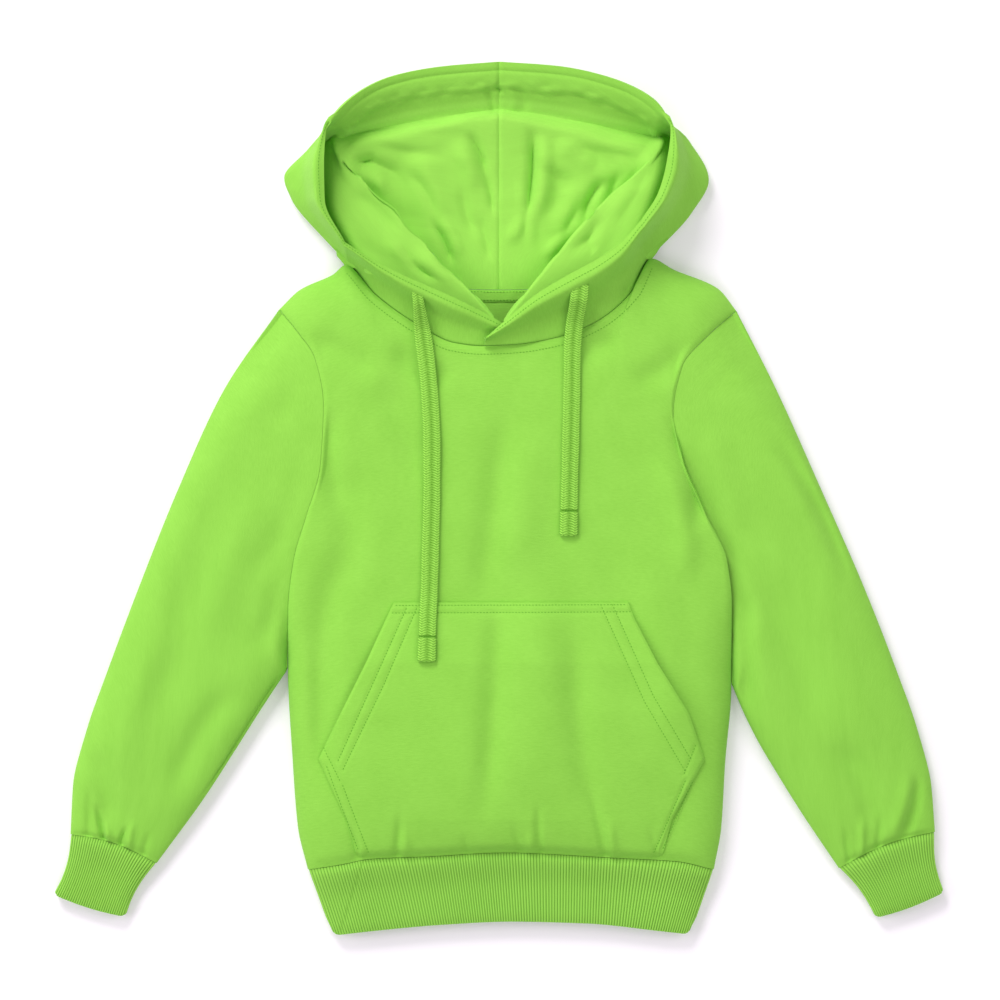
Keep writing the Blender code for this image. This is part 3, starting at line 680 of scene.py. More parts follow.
def bodyPoints(u, v, upper):
    # height: from the seams' level to the crown (or the floor), by the openness, a product
    # of elliptical rolls at the closed edges; then seams, creases and a slight unevenness
    u, v = np.broadcast_arrays(np.asarray(u, float), np.asarray(v, float))
    top = topLine(upper)
    plan = bodyPlan(u, v, top)
    left, right, above, lift, high = edgeDistances(u, v, top, plan)
    reach = upperRoll if upper else lowerRoll
    face = lift + (1 - lift) * rollDown(left, reach)
    face = face * (lift + (1 - lift) * rollDown(right, reach))
    face = face * (high + (1 - high) * rollDown(above, reach))
    if not upper:
        low = seamZ - gap / 2
        return np.concatenate([plan, (low * (1 - face))[..., None]], axis=-1)
    low = seamZ + gap / 2
    crown = table(body["crown"], v)[..., 0]
    height = low + (crown - low) * face
    x, y = plan[..., 0], plan[..., 1]
    hem = table(body["hemSeam"], u)
    below = np.hypot(x - hem[..., 0], y - hem[..., 1])
    near = np.minimum(left + 60 * (lift < 0.4), right + 60 * (lift < 0.4))
    free = ease(np.minimum(near, above) / 9) * ease(below / 3 + 0.3)
    free = free * ease(np.minimum(left, right) / 26 + lift)
    height = height + folded(x, y, body["creases"]) * free * body["fullness"]
    height = height + 0.45 * waves(x, y, (95.0, 63.0, 41.0), 1) * free
    height = height - body["seamDip"] * bell(near, body["seamReach"]) * face
    height = height - body["seamDip"] * bell(above, body["seamReach"]) * face
    height = height - body["hemDip"] * bell(below, body["hemReach"]) * face
    return np.concatenate([plan, height[..., None]], axis=-1)


def frontParameters(x, y):
    # where on the front a place in plan lies: the patch is solved by small steps
    u = np.clip((x + 160) / 330, 0.02, 0.98)
    v = np.clip((y + 290) / 450, 0.0, 1.0)
    for _ in range(40):
        plan = bodyPlan(u, v, topLine(True))
        u = np.clip(u + (x - plan[..., 0]) / 340, 0.0, 1.0)
        v = np.clip(v + (y - plan[..., 1]) / 470, 0.0, 1.0)
    return u, v


def frontHeight(x, y):
    u, v = frontParameters(x, y)
    return bodyPoints(u, v, True)[..., 2]


def makeBody(upper):
    # the surface on a grid that crowds towards its sides and its top
    across = edgeSpacing(body["columns"])
    nearTop = np.linspace(0, 1, body["topRows"] + 1)[1:]
    below = np.linspace(0, 0.9, body["rows"] - body["topRows"])
    up = np.concatenate([below, 1 - 0.1 * (1 - nearTop) ** 2])
    u, v = np.meshgrid(across, up)
    points = bodyPoints(u, v, upper)
    top = topLine(upper)
    atSide = (u == 0) | (u == 1)
    atTop = v == 1
    closed = atSide & (table(body["sides"], v)[..., 4] < 0.4)
    closed |= atTop & (table(top, u)[..., 2] < 0.3)
    sewn = (atSide | atTop) & ~closed
    hold = np.ones_like(points)
    hold[closed | ((np.abs(points[..., 2] - seamZ) < 2.0) & ~sewn), 2] = 0.0
    hold[sewn, 0:2] = 0.0
    node = "front" if upper else "back"
    piece = clothShell(node + "Panel", points, fleece, outward=upper, hold=hold)
    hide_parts(node)


makeBody(False)
makeBody(True)
print("body made")

sleeves = {
    "rings": 120,
    "around": 92,
    "bow": 5.0,             # mm the cuff seam bows towards the elbow
    "cuffDip": 2.4,         # mm the fleece turns down to the cuff
    "length": 430.0,        # mm from the armhole to the cuff
    "tuckUnder": 4.0,       # mm the right sleeve starts under the front's edge
    "tuckDown": 7.0,
    "tuckTrough": 3.6,
    "slit": 2.0,            # mm deep, along the left sleeve's inner edge
    "left": (
        # v,  outer x, outer y, inner x, inner y, crown
        (0.00, -176, 152, -169, -135, 26),
        (0.16, -220, 88, -170.5, -138, 24),
        (0.32, -257, 8, -174, -143, 23),
        (0.47, -289, -72, -182, -155, 22),
        (0.60, -313, -136, -195, -175, 22),
        (0.72, -330, -184, -212, -202, 21),
        (0.84, -341, -228, -236, -239, 20),
        (1.00, -343, -268, -274, -291, 16),
    ),
    "right": (
        # v,  outer x, outer y, inner x, inner y, crown
        (0.00, 190, 151, 186, -148, 26),
        (0.16, 222, 88, 187.5, -151, 24),
        (0.32, 258, 8, 190, -157, 23),
        (0.47, 293, -72, 196, -171, 22),
        (0.60, 318, -136, 207, -193, 22),
        (0.72, 335, -184, 223, -220, 21),
        (0.84, 346, -228, 243, -252, 20),
        (1.00, 349, -266, 272, -295, 16),
    ),
    "leftCreases": (
        # from x, y,     to x, y,      width, depth, bow
        (-158, 108, -176, 60, 8, -1.6, 3),
        (-172, 128, -205, 60, 12, 1.2, 4),
        (-152, 40, -190, -60, 11, -1.8, 6),
        (-165, -20, -190, -120, 10, -1.6, 5),
        (-186, 10, -232, -110, 16, 1.3, -6),
        (-240, -40, -290, -190, 18, -1.3, 6),
        (-262, -100, -300, -215, 14, 1.1, -5),
        (-212, -150, -262, -238, 11, -1.5, -5),
        (-322, -200, -314, -262, 9, -1.3, 3),
        (-322, -246, -313, -292, 2.2, -1.6, 1),
        (-314, -260, -309, -292, 2.6, 1, 0),
        (-298, -262, -307, -294, 2, -1.3, -1),
        (-293, -258, -298, -292, 2.8, 0.9, 0),
        (-328, -232, -332, -290, 3.6, -0.7, 2),
        (-280, -266, -289, -302, 2.8, -0.6, 0),
    ),
    "rightCreases": (
        # from x, y,     to x, y,      width, depth, bow
        # the sleeve lies lower along the body
        (154, 40, 178, -26, 7.5, -1.6, 0),
        (176, -20, 197, -96, 8, -2, -3),
        (196, -78, 199, -172, 8, -2, 0),
        (152, 92, 178, 122, 5, -2.4, -2),
        (150, 104, 184, 136, 6, 1.7, 2),
        (160, 80, 200, 112, 8, -1.5, 3),
        (166, 60, 196, -20, 12, 1.5, -5),
        (150, 40, 186, -50, 8, -2.4, -7),
        (221, 48, 279, -60, 7, -1.8, 5),
        (232, 52, 288, -50, 8, 1, 5),
        (206, -60, 252, -180, 15, -1.5, 6),
        (250, -60, 300, -210, 18, 1.2, -6),
        (272, -196, 302, -262, 10, -1.4, 4),
        (335, -220, 322, -272, 5, -1.5, 3),
        (327, -222, 312, -272, 6, 1, 3),
        (305, -252, 299, -300, 2.6, -0.8, 1),
        (290, -256, 290, -298, 2.8, 1, 0),
        (276, -264, 283, -304, 2.4, -0.8, 0),
    ),
}


def tubeRise(across, width, reach):
    # the height of a flattened tube's section: rolled down at both of its edges
    return rollDown(across * width, reach) * rollDown((1 - across) * width, reach)


def makeSleeve(side, look):
    # a ring for each station: upper layer, then lower. The first ring is the armhole, and
    # the next ones ease from that to a plain flattened section
    up = edgeSpacing(look["around"])[::-1]
    holeV = underarm + (1 - underarm) * up
    across = 1 - up
    stations = 0.5 - 0.5 * np.cos(np.linspace(0.12, math.pi - 0.12, look["rings"]))
    stations = (stations - stations[0]) / (stations[-1] - stations[0])
    rows = table(look[side], stations)
    edge = 0.0 if side == "left" else 1.0
    turn = 1 if side == "left" else -1
    hole = [
        beside(bodyPoints(np.full(len(holeV), edge), holeV[::-1], upper), gap * 1.2 * turn)[::-1]
        for upper in (True, False)
    ]
    # the right sleeve starts a little under the front's edge, and lies lower beside it
    tucked = window(holeV, underarm, 0.08, 0.82, 0.14) * (side == "right")
    hole[0][:, 0] -= look["tuckUnder"] * tucked
    hole[0][:, 2] -= look["tuckDown"] * tucked
    first = rows[0, 0:2] + (rows[0, 2:4] - rows[0, 0:2]) * across[:, None]
    outer = rows[:, None, 0:2]
    inner = rows[:, None, 2:4]
    chord = outer + (inner - outer) * across[None, :, None]
    width = np.linalg.norm(rows[:, 0:2] - rows[:, 2:4], axis=1)[:, None]
    near = (1 - ease(stations / 0.30))[:, None]
    bow = np.sin(math.pi * across)[None, :] * look["bow"] * ease((stations - 0.7) / 0.3)[:, None]
    toCuff = (1 - stations)[:, None] * look["length"]
    toHole = stations[:, None] * look["length"]
    layers = []
    for upper, line in ((True, hole[0]), (False, hole[1])):
        plan = chord + (line[:, 0:2] - first) * near[..., None]
        plan[..., 1] += bow
        if upper:
            rise = tubeRise(across[None, :], width, upperRoll)
            height = seamZ + (rows[:, 4][:, None] - seamZ) * rise
            dip = look["cuffDip"] * bell(toCuff, 5.0) * rise
            free = ease(toHole / 12) * ease(rise * 1.6 - 0.3) * ease(toCuff / 3 + 0.3)
            x, y = plan[..., 0], plan[..., 1]
            added = folded(x, y, look[side + "Creases"]) * body["fullness"]
            added = added + 0.45 * waves(x, y, (88.0, 57.0, 39.0), 2 + turn)
            lying = look["tuckTrough"] * tucked[None, :] * bell(toHole - 8.0, 20.0)
            height = height + added * free - dip - lying
        else:
            height = seamZ * (1 - tubeRise(across[None, :], width, lowerRoll))
        height = line[:, 2] * near + height * (1 - near)
        if upper and side == "left":
            # the lower layer shows along the inner edge, below a narrow slit
            slit = bell((1 - across[None, :]) * width - 3.0, 0.9)
            height = height - look["slit"] * slit * window(stations, 0.34, 0.08, 0.86, 0.1)[:, None]
        layers.append(np.concatenate([plan, height[..., None]], axis=-1))
    for end in (0, -1):
        layers[0][:, end] = (layers[0][:, end] + layers[1][:, end]) / 2
    points = np.concatenate([layers[0], layers[1][:, -2:0:-1]], axis=1)
    hold = np.ones_like(points)
    hold[0, np.abs(points[0, :, 2] - seamZ) > seamZ / 2, 0:2] = 0.0
    name = "sleeve_" + side
    piece = clothShell(name + "Cloth", points, fleece, outward=side == "right", closed=True, hold=hold)
    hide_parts(name)


for side in ("left", "right"):
    makeSleeve(side, sleeves)
print("sleeves made")

ribbing = {
    "pitch": 2.35,          # mm from rib to rib
    "height": 0.75,         # mm from groove to ridge
    "pointsPerRib": 6,
    "wall": 2.2,
    "hemEdge": (
        # u,    x,      y
        (0.00, -134, -349),
        (0.10, -105, -345.5),
        (0.30, -45, -340),
        (0.50, 10, -337.5),
        (0.70, 70, -339),
        (0.90, 128, -345),
        (1.00, 154, -348),
    ),
    "join": ((-108, -287), (-121, -326)),       # the hem rib's own seam, from end to end
    "hemAcross": 325.0,     # mm the hem band is wide
    "hemStart": 21.0,       # mm high at its seam, and then at its edge
    "hemCrown": 15.0,
    "hemSeamZ": 7.5,
    "hemCorner": 7.0,
    "cuffAcross": 77.0,
    "cuffCrown": 12.0,
    "cuffCorner": 5.0,
    "left": ((-357, -316), (-299, -334)),       # a cuff's outer and inner corner
    "right": ((357, -314), (301, -335)),
    "sideBow": 3.0,         # mm a cuff's sides pull in
}


def ribRelief(share, ribs):
    # round ridges with narrow grooves between them
    return np.abs(np.sin(math.pi * share * ribs)) ** 0.8


def roundCorners(lines, v, radius):
    # towards the open end each line's ends are drawn back, as a quarter circle
    rounded = []
    for line, t in zip(lines, v):
        run = runLength(line)
        near = np.clip(np.minimum(run, run[-1] - run) / radius, 0, 1)
        back = radius * (1 - np.sqrt(1 - (1 - near) ** 2)) * ease((t - 0.7) / 0.3)
        along = lines[0].mean(axis=0) - lines[-1].mean(axis=0)
        along /= np.linalg.norm(along)
        rounded.append(line + back[:, None] * along)
    return rounded


def ribTube(name, lines, seams, crowns, reaches, ribs, outward, node, join=None):
    # rings of a flattened tube whose two layers share each line, with the ribs standing
    # out along the normals and a rolled edge at the open end
    rings = []
    for line, seam, crown, reach in zip(lines, seams, crowns, reaches):
        run = runLength(line)
        share = run / run[-1]
        upper = np.column_stack([line, seam + (crown - seam) * tubeRise(share, run[-1], reach)])
        lower = np.column_stack([line, seam * (1 - tubeRise(share, run[-1], lowerRoll))])
        rings.append(np.vstack([upper, lower[-2:0:-1]]))
    points = np.array(rings)
    count = len(lines[0])
    share = np.linspace(0, 1, count)
    around = np.concatenate([share, share[-2:0:-1]])
    ridge = ribRelief(around, ribs)
    # painted shade: darker in the grooves between the ribs and over the first rings, at the seam
    end = ease(np.linspace(0, 1, len(points)) * len(points) / 2.0)[:, None]
    shade = np.repeat(ridge[None, :], len(points), axis=0) * (0.55 + 0.45 * end)
    if join is not None:
        # the rib's own side seam: a groove in painted shade from the first corner to the second
        (x0, y0), (x1, y1) = join
        length = math.hypot(x1 - x0, y1 - y0)
        off = ((points[..., 0] - x0) * (y1 - y0) - (points[..., 1] - y0) * (x1 - x0)) / length
        shade = shade * (1 - 0.75 * bell(off, 0.8) * (points[..., 2] > 6))
    flat = points[..., 2] < 1.0
    relief = (shade - 1) * ribbing["height"]
    relief[flat] = np.minimum(relief[flat], 0.0)
    piece = clothShell(name, points, rib, wall=ribbing["wall"], outward=outward, closed=True,
                       relief=relief, shade=shade)
    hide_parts(node)
    return piece


def makeWaistband(look):
    # lines that ease from the hem seam to the band's edge, lower at the seam and the edge
    ribs = round(look["hemAcross"] / look["pitch"])
    across = np.linspace(0, 1, ribs * look["pointsPerRib"] + 1)
    seamLine = table(body["hemSeam"], across)
    edgeLine = table(look["hemEdge"], across)
    v = np.concatenate([np.linspace(0, 0.12, 5), np.linspace(0.12, 1, 11)[1:]])
    change = ease(v * 2)
    lines = [seamLine + (edgeLine - seamLine) * t - [0.0, gap * 1.5] for t in v]
    lines = roundCorners(lines, v, look["hemCorner"])
    crowns = look["hemStart"] + (look["hemCrown"] - look["hemStart"]) * change
    crowns = crowns - 2.7 * bell(v * 56, 4.0) - 1.6 * ease((v - 0.9) / 0.1)
    seams = seamZ + (look["hemSeamZ"] - seamZ) * change
    reaches = np.full(len(v), upperRoll)
    piece = ribTube("hemBand", lines, seams, crowns, reaches, ribs, False, "waistband", look["join"])


def makeCuff(side, look):
    # lines from the sleeve's end to the cuff's edge, their ends pulled in by a half sine
    start = table(sleeves[side], np.array(1.0))
    outerEnd, innerEnd = (np.array(corner) for corner in look[side])
    ribs = round(look["cuffAcross"] / look["pitch"])
    across = np.linspace(0, 1, ribs * look["pointsPerRib"] + 1)
    v = np.concatenate([np.linspace(0, 0.12, 5), np.linspace(0.12, 1, 13)[1:]])
    pull = np.sin(math.pi * v) * look["sideBow"]
    lines = []
    for t, bend in zip(v, pull):
        outer = start[0:2] + (outerEnd - start[0:2]) * t
        inner = start[2:4] + (innerEnd - start[2:4]) * t
        chord = (inner - outer) / np.linalg.norm(inner - outer)
        outer = outer + chord * bend
        inner = inner - chord * bend
        line = outer + (inner - outer) * across[:, None]
        line[:, 1] += np.sin(math.pi * across) * sleeves["bow"] * (1 - 1.4 * t) - gap * 1.3
        lines.append(line)
    lines = roundCorners(lines, v, look["cuffCorner"])
    change = ease(v * 2)
    seams = seamZ + (look["cuffCrown"] / 2 - seamZ) * change
    crowns = start[4] + (look["cuffCrown"] - start[4]) * change
    crowns = crowns - 2.6 * bell(v * 60, 4.0) - 1.2 * ease((v - 0.92) / 0.08)
    reaches = upperRoll + (look["cuffCrown"] - upperRoll) * change
    name = "cuff_" + side
    piece = ribTube(name + "Rib", lines, seams, crowns, reaches, ribs, side == "right", name)


makeWaistband(ribbing)
for side in ("left", "right"):
    makeCuff(side, ribbing)
print("ribs made")

hood = {
    "step": 2.5,            # mm between the grid's rows along the rim
    "cells": (6, 8, 8, 8, 8, 10, 16, 7, 12, 16),    # grid cells between neighbouring lines
    "crest": 0.22,          # the rim's roll: its place from rim to fold, and its rise
    "crestRise": 2.6,
    "hollow": 0.58,         # the wall's: its place, and its height from fold to rim
    "hollowHeight": 0.30,
    "lining": ((0.12, 0.06), (0.38, 0.24), (0.66, 0.52)),   # where the rim lies out: place, drop
    "casing": 19.0,         # mm from the rim to where the turned-in casing is sewn
    "casingRise": 2.0,      # mm it stands up, its puckers, and the groove behind the rim
    "casingPucker": 1.5,
    "rimGroove": 0.9,
    "wander": 2.4,          # mm the pleat strays in plan
    "seamDip": 1.2,
    "fullness": 2.6,        # how deep the listed creases are pressed
    "leftFront": (
        # rim x, rim y, rim z, neck u, raise
        (13, 134.5, 25, 0.520, 0),
        (-2, 143.5, 28.5, 0.470, 0),
        (-28, 157, 35, 0.405, 0),
        (-56, 169.5, 39, 0.340, 0),
        (-80, 180, 43, 0.275, 0),
        (-102, 191.5, 46, 0.220, 0),
        (-122, 204, 50, 0.181, 0),
    ),
    "rightFront": (
        # rim x, rim y, rim z, neck u, raise
        (-10, 129.5, 32, 0.465, 4),
        (5, 142.5, 36, 0.515, 4),
        (30, 163.5, 40, 0.580, 1),
        (56, 179, 43, 0.640, 0),
        (79, 191.5, 45, 0.705, 0),
        (97, 204, 48, 0.770, 0),
        (113, 222, 51, 0.819, 0),
    ),
    "leftOutside": (
        # rim x, rim y, rim z,   out x, out y, out z, lean
        (-122, 204, 50, -122.5, 190, 9.6, 1),
        (-138, 238, 53, -166, 240, 9, 1),
        (-138.5, 266, 54, -172, 258, 9, 1),
        (-137, 293, 49, -152, 281, 13, 1),
        (-124, 314, 43, -124, 314, 43, 0),
        (-87, 336, 37, -87, 336, 37, 0),
        (-46, 344.5, 33, -46, 344.5, 33, 0),
        (0, 348.5, 31, 0, 348.5, 31, 0),
    ),
    "rightOutside": (
        # rim x, rim y, rim z,   out x, out y, out z, lean
        (113, 222, 51, 122.5, 195, 9.6, 1),
        (126, 243, 54, 154, 229, 9, 1),
        (132.5, 266, 54, 168, 256, 9, 1),
        (136, 293, 49, 152, 287, 13, 1),
        (127, 314, 43, 127, 314, 43, 0),
        (90, 335, 37, 90, 335, 37, 0),
        (46, 345, 33, 46, 345, 33, 0),
        (0, 348.5, 31, 0, 348.5, 31, 0),
    ),
    "leftInside": (
        # valley x, y, z,      ridge x, y, z,        foot x, y, z,          neck x
        (-98, 179, 29, -5, 144.5, 21, -18, 160, 14, -112),
        (-129, 233, 25, -46, 187, 24, -50, 178, 7, -94),
        (-131, 262, 17, -84, 230, 25, -76, 215, 6, -70),
        (-133, 286, 12, -121, 266, 23, -102, 243, 8, -52),
        (-120, 291, 11, -116, 280, 19, -99, 258, 13, -40),
        (-91, 297, 14, -88, 288, 20, -78, 268, 15, -28),
        (-51, 305, 16, -50, 297, 21, -45, 275, 15, -14),
        (0, 312, 17, 0, 304, 22, 0, 279, 15, 0),
    ),
    "rightInside": (
        # valley x, y, z,      ridge x, y, z,        foot x, y, z,          neck x
        (97, 190, 30, 5, 141.5, 24, 18, 160, 14, 112),
        (118, 238, 29, 44, 190, 25, 50, 180, 7, 94),
        (125, 262, 25, 84, 236, 25, 76, 218, 6, 70),
        (131, 286, 15, 121, 270, 23, 102, 246, 8, 52),
        (122, 291, 12, 114, 279, 19, 99, 257, 13, 40),
        (91, 296, 14, 87, 286, 20, 78, 266, 15, 28),
        (49, 305, 16, 48, 296, 21, 44, 274, 15, 14),
        (0, 312, 17, 0, 304, 22, 0, 279, 15, 0),
    ),
    "crownCreases": (
        # from x, y,     to x, y,      width, depth, bow
        (-23.6, 292, -11, 262, 4.2, -2, 2),
        (-33, 284, -19, 250, 6, 1.3, 2),
        (-12, 262, -5, 230, 3.2, -1.3, 1),
        (27, 295, 20, 216, 4.2, -2.8, 3),
        (36, 292, 29, 226, 6, 1.5, 3),
        (7, 207, 28, 244, 5, 1.2, -3),
        (-52, 221, -38, 190, 3.6, -1.8, 2),
        (-47, 226, -31, 196, 4.5, 1, 2),
        (84, 256, 69, 222, 4.5, -2.6, -4),
        (62, 212, 41, 184, 4, -2.8, 3),
        (53, 218, 37, 196, 4.5, 1.3, 2),
        (-116, 266, -98, 275, 3.5, -1.8, 1),
        (-112, 258, -90, 250, 4.5, 1.3, 2),
        (-82, 276, -62, 214, 12, -1.6, -5),
        (-60, 284, -44, 230, 11, 1.2, -3),
        (60, 282, 98, 262, 7, -1.3, 3),
        (98, 262, 90, 236, 6, -1.8, -3),
        (46, 284, 76, 268, 6.5, 1.2, 2),
        (48, 262, 40, 226, 8, -1.2, 3),
        (-121, 272, -80, 261, 4, -1.3, 3),
        (-100, 285, -42, 276, 5, -0.9, -2),
        (-70, 262, -50, 230, 4.5, -1.2, 2),
        (-30, 248, -19, 212, 4.5, -1.1, -2),
        (34, 264, 62, 250, 4.5, -1.1, 2),
        (16, 252, 28, 206, 3.5, 0.9, 1),
        (66, 242, 44, 206, 4.5, -1.3, 3),
        (114, 270, 76, 284, 4, -1.2, -2),
        (-16, 226, -8, 192, 4, -0.9, 1),
    ),
    "bandCreases": (
        # from x, y,     to x, y,      width, depth, bow
        (-10, 331, -4, 306, 3, -2.2, 1),
        (7, 330, 13, 312, 3.4, 1.4, 1),
        (17, 328, 21, 310, 3.4, -1.3, 1),
        (-3.5, 331, 3.5, 326, 2.6, -3, 0),
        (-112, 300, -58, 316, 6, -1.2, 3),
        (52, 318, 112, 302, 6, -1.2, 3),
    ),
    "flapCreases": (
        # from x, y,     to x, y,      width, depth, bow
        (-79, 202, -52, 176, 3.2, -1.7, -2),
        (-86, 206, -62, 186, 3.6, 1.2, -2),
        (-64, 196, -40, 172, 4, 0.9, 2),
        (-116, 244, -84, 214, 7, -1.1, 3),
        (70, 211, 76, 196, 3, -1.2, 0),
        (80, 224, 58, 198, 4.5, -1.1, 3),
        (112, 250, 90, 226, 7, 1.1, -3),
    ),
    "wallCreases": (
        # from x, y,     to x, y,      width, depth, bow
        (-96, 160, -118, 186, 4, -1.6, 2),
        (-60, 150, -84, 170, 5, 1.2, -2),
        (124, 190, 110, 168, 3.6, -2.4, 2),
        (118, 196, 102, 172, 3.6, 1.8, 2),
        (112, 184, 100, 160, 3.2, -1.8, -2),
        (-168, 250, -146, 232, 6, 1, 2),
        (160, 240, 140, 222, 6, -1.2, 2),
    ),
}


def alongRim(rows, step, crowd):
    # each row's distance along the rim, and stations a step apart from row to row
    rim = np.asarray(rows, float)[:, 0:3]
    run = runLength(rim)
    fine = [np.linspace(a, b, max(2, round((b - a) / step)) + 1)[:-1] for a, b in zip(run[:-1], run[1:])]
    if crowd:
        count = len(fine[-1]) + 6
        fine[-1] = run[-2] + (run[-1] - run[-2]) * (1 - (1 - np.arange(count) / count) ** 1.8)
    return run, np.concatenate(fine + [run[-1:]])


def outsideLines(rim, out):
    # the rim's roll and the wall's hollow, at set places between the rim and the fold
    crest = rim + (out - rim) * hood["crest"]
    crest[:, 2] = rim[:, 2] + hood["crestRise"]
    wall = rim + (out - rim) * hood["hollow"]
    wall[:, 2] = out[:, 2] + (rim[:, 2] - out[:, 2]) * hood["hollowHeight"]
    return crest, wall


def liningLines(rim, valley):
    # lines at set places and drops between the rim and the valley
    found = []
    for part, drop in hood["lining"]:
        place = rim + (valley - rim) * part
        place[:, 2] = rim[:, 2] + (valley[:, 2] - rim[:, 2]) * drop
        found.append(place)
    return found


def hoodLines(side):
    # eleven lines along the hood: rim, crest, wall, fold, floor, valley, middle, ridge,
    # foot, turn and neck seam. Before the shoulder only the first four are used
    turn = 1 if side == "left" else -1
    run, fine = alongRim(hood[side + "Front"], hood["step"], False)
    rows = smooth(run, hood[side + "Front"], fine)
    rim = rows[:, 0:3]
    seam = beside(bodyPoints(rows[:, 3], np.ones(len(rows)), True), -gap * 2 * turn)
    seam[:, 2] += rows[:, 4]
    crest, wall = outsideLines(rim, seam)
    front = np.stack([rim, crest, wall, seam] + [seam] * 7, axis=1)
    frontLean = np.ones(len(front) - 1)

    run, fine = alongRim(hood[side + "Outside"], hood["step"], True)
    rows = smooth(run, hood[side + "Outside"], fine)
    inside = smooth(run, hood[side + "Inside"], fine)
    rim = rows[:, 0:3]
    out = rows[:, 3:6]
    out[0] = front[-1, 3]
    lean = rows[:, 6][:, None]
    valley = inside[:, 0:3]
    ridge = inside[:, 3:6]
    foot = inside[:, 6:9]
    neck = beside(bodyPoints(0.5 + inside[:, 9] / 360.0, np.ones(len(rows)), False), gap * 2 * turn)
    crest, wall = outsideLines(rim, out)
    folds = liningLines(rim, valley)
    crest = crest * lean + folds[0] * (1 - lean)
    wall = wall * lean + folds[1] * (1 - lean)
    out = out * lean + folds[2] * (1 - lean)
    floor = out + (valley - out) * 0.5
    low = np.maximum(0.0, 14.0 - 14.0 * (fine - fine[0]) / 24.0)
    floor[:, 2] = low * rows[:, 6] + (out[:, 2] * 0.5 + valley[:, 2] * 0.5) * (1 - rows[:, 6])
    middle = valley + (ridge - valley) * (0.5 - 0.18 * lean)
    middle[:, 2] = valley[:, 2] + (ridge[:, 2] - valley[:, 2]) * (0.6 + 0.26 * rows[:, 6])
    under = (foot + neck) / 2
    under[:, 2] = foot[:, 2] * 0.45
    back = np.stack([rim, crest, wall, out, floor, valley, middle, ridge, foot, under, neck], axis=1)
    lines = np.concatenate([front[:-1], back])
    return lines, len(front) - 1, np.concatenate([frontLean, rows[:, 6]])


def hoodGrid(side):
    # the lines joined across by smooth curves, then the seams, the casing's edge and its
    # puckers, and the creases of each region
    lines, shoulder, lean = hoodLines(side)
    count = lines.shape[1]
    parts = [np.linspace(i, i + 1, n + 1)[:-1] for i, n in enumerate(hood["cells"])]
    parts = np.concatenate(parts + [np.array([count - 1.0])])
    rows = len(lines)
    points = smooth(np.arange(float(count)), lines.transpose(1, 0, 2).reshape(count, -1), parts)
    points = points.reshape(len(parts), rows, 3).transpose(1, 0, 2)
    across = np.broadcast_to(parts, points.shape[:2])
    x, y = points[..., 0], points[..., 1]
    leaning = lean[:, None]
    # the pleat and the folds inside wander a little in plan
    inner = window(across, 4.4, 1.6, 9.4, 1.6) * ease(np.abs(x) / 30)
    wander = hood["wander"] * inner * waves(x, y, (52.0, 33.0, 23.0), 9)
    points = points + np.stack([wander * 0.6, wander, np.zeros_like(wander)], axis=-1)
    x, y = points[..., 0], points[..., 1]
    regions = (
        ("crown", window(across, 7.1, 0.5, 10.0, 0.4) * hood["fullness"]),
        ("flap", window(across, 5.0, 0.4, 7.1, 0.4) * hood["fullness"]),
        ("band", window(across, 1.5, 0.5, 6.6, 0.4) * (1 - leaning)),
        ("wall", window(across, 0.8, 0.5, 3.0, 0.3) * leaning),
    )
    added = 0.5 * waves(x, y, (61.0, 43.0, 29.0), 5) * window(across, 5.0, 1.0, 10.0, 0.5)
    for region, share in regions:
        added = added + folded(x, y, hood[region + "Creases"]) * share
    fromRim = np.linalg.norm(points[..., 0:2] - points[:, :1, 0:2], axis=2)
    upTop = (1 - leaning) * (across < 5)
    casing = hood["casing"] + 1.2 * waves(x, y, (31.0, 17.0), 3)
    ripple = waves(x, y, (15.0, 11.0, 8.0), 7)
    added = added + upTop * bell(fromRim - casing, 4.5) * ripple * hood["casingPucker"]
    added = added + upTop * hood["casingRise"] * (1 - ease((fromRim - casing) / 1.6))
    added = added - upTop * hood["rimGroove"] * bell(fromRim - 6.4, 1.6)
    added = added - hood["seamDip"] * bell(x, 1.5) * (np.arange(rows) > shoulder)[:, None]
    sewn = np.abs(across - 3.0) + (np.arange(rows) >= shoulder)[:, None] * 9
    added = added - 0.9 * bell(sewn, 0.12)
    points = points.copy()
    points[..., 2] += added
    points[-1, :, 0] = (-1 if side == "left" else 1) * gap / 2
    return points, parts, shoulder, lean


def makeHood(side):
    # one half: before the shoulder only the outside, from the rim to the neck seam, is kept
    points, parts, shoulder, lean = hoodGrid(side)
    seamColumn = int(np.argmin(abs(parts - 3.0)))
    keep = np.ones((len(points) - 1, len(parts) - 1), bool)
    keep[:shoulder, seamColumn:] = False
    hold = np.ones_like(points)
    hold[-1, :, 0] = 0.0
    hold[:shoulder, seamColumn, 0:2] = 0.0
    hold[shoulder:, -1, 0:2] = 0.0
    name = "hood_" + side
    # painted light: 1 inside the hood, where the finish brightens the fleece against the hollow's shade
    inside = np.repeat(ease((parts - 3.1) / 0.8)[None], len(points), axis=0)
    piece = clothShell(name + "Cloth", points, fleece, outward=side == "right", hold=hold, keep=keep,
                       shade=inside)
    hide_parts(name)
    return points, parts, lean


hoodHalves = {side: makeHood(side) for side in ("left", "right")}
print("hood made")

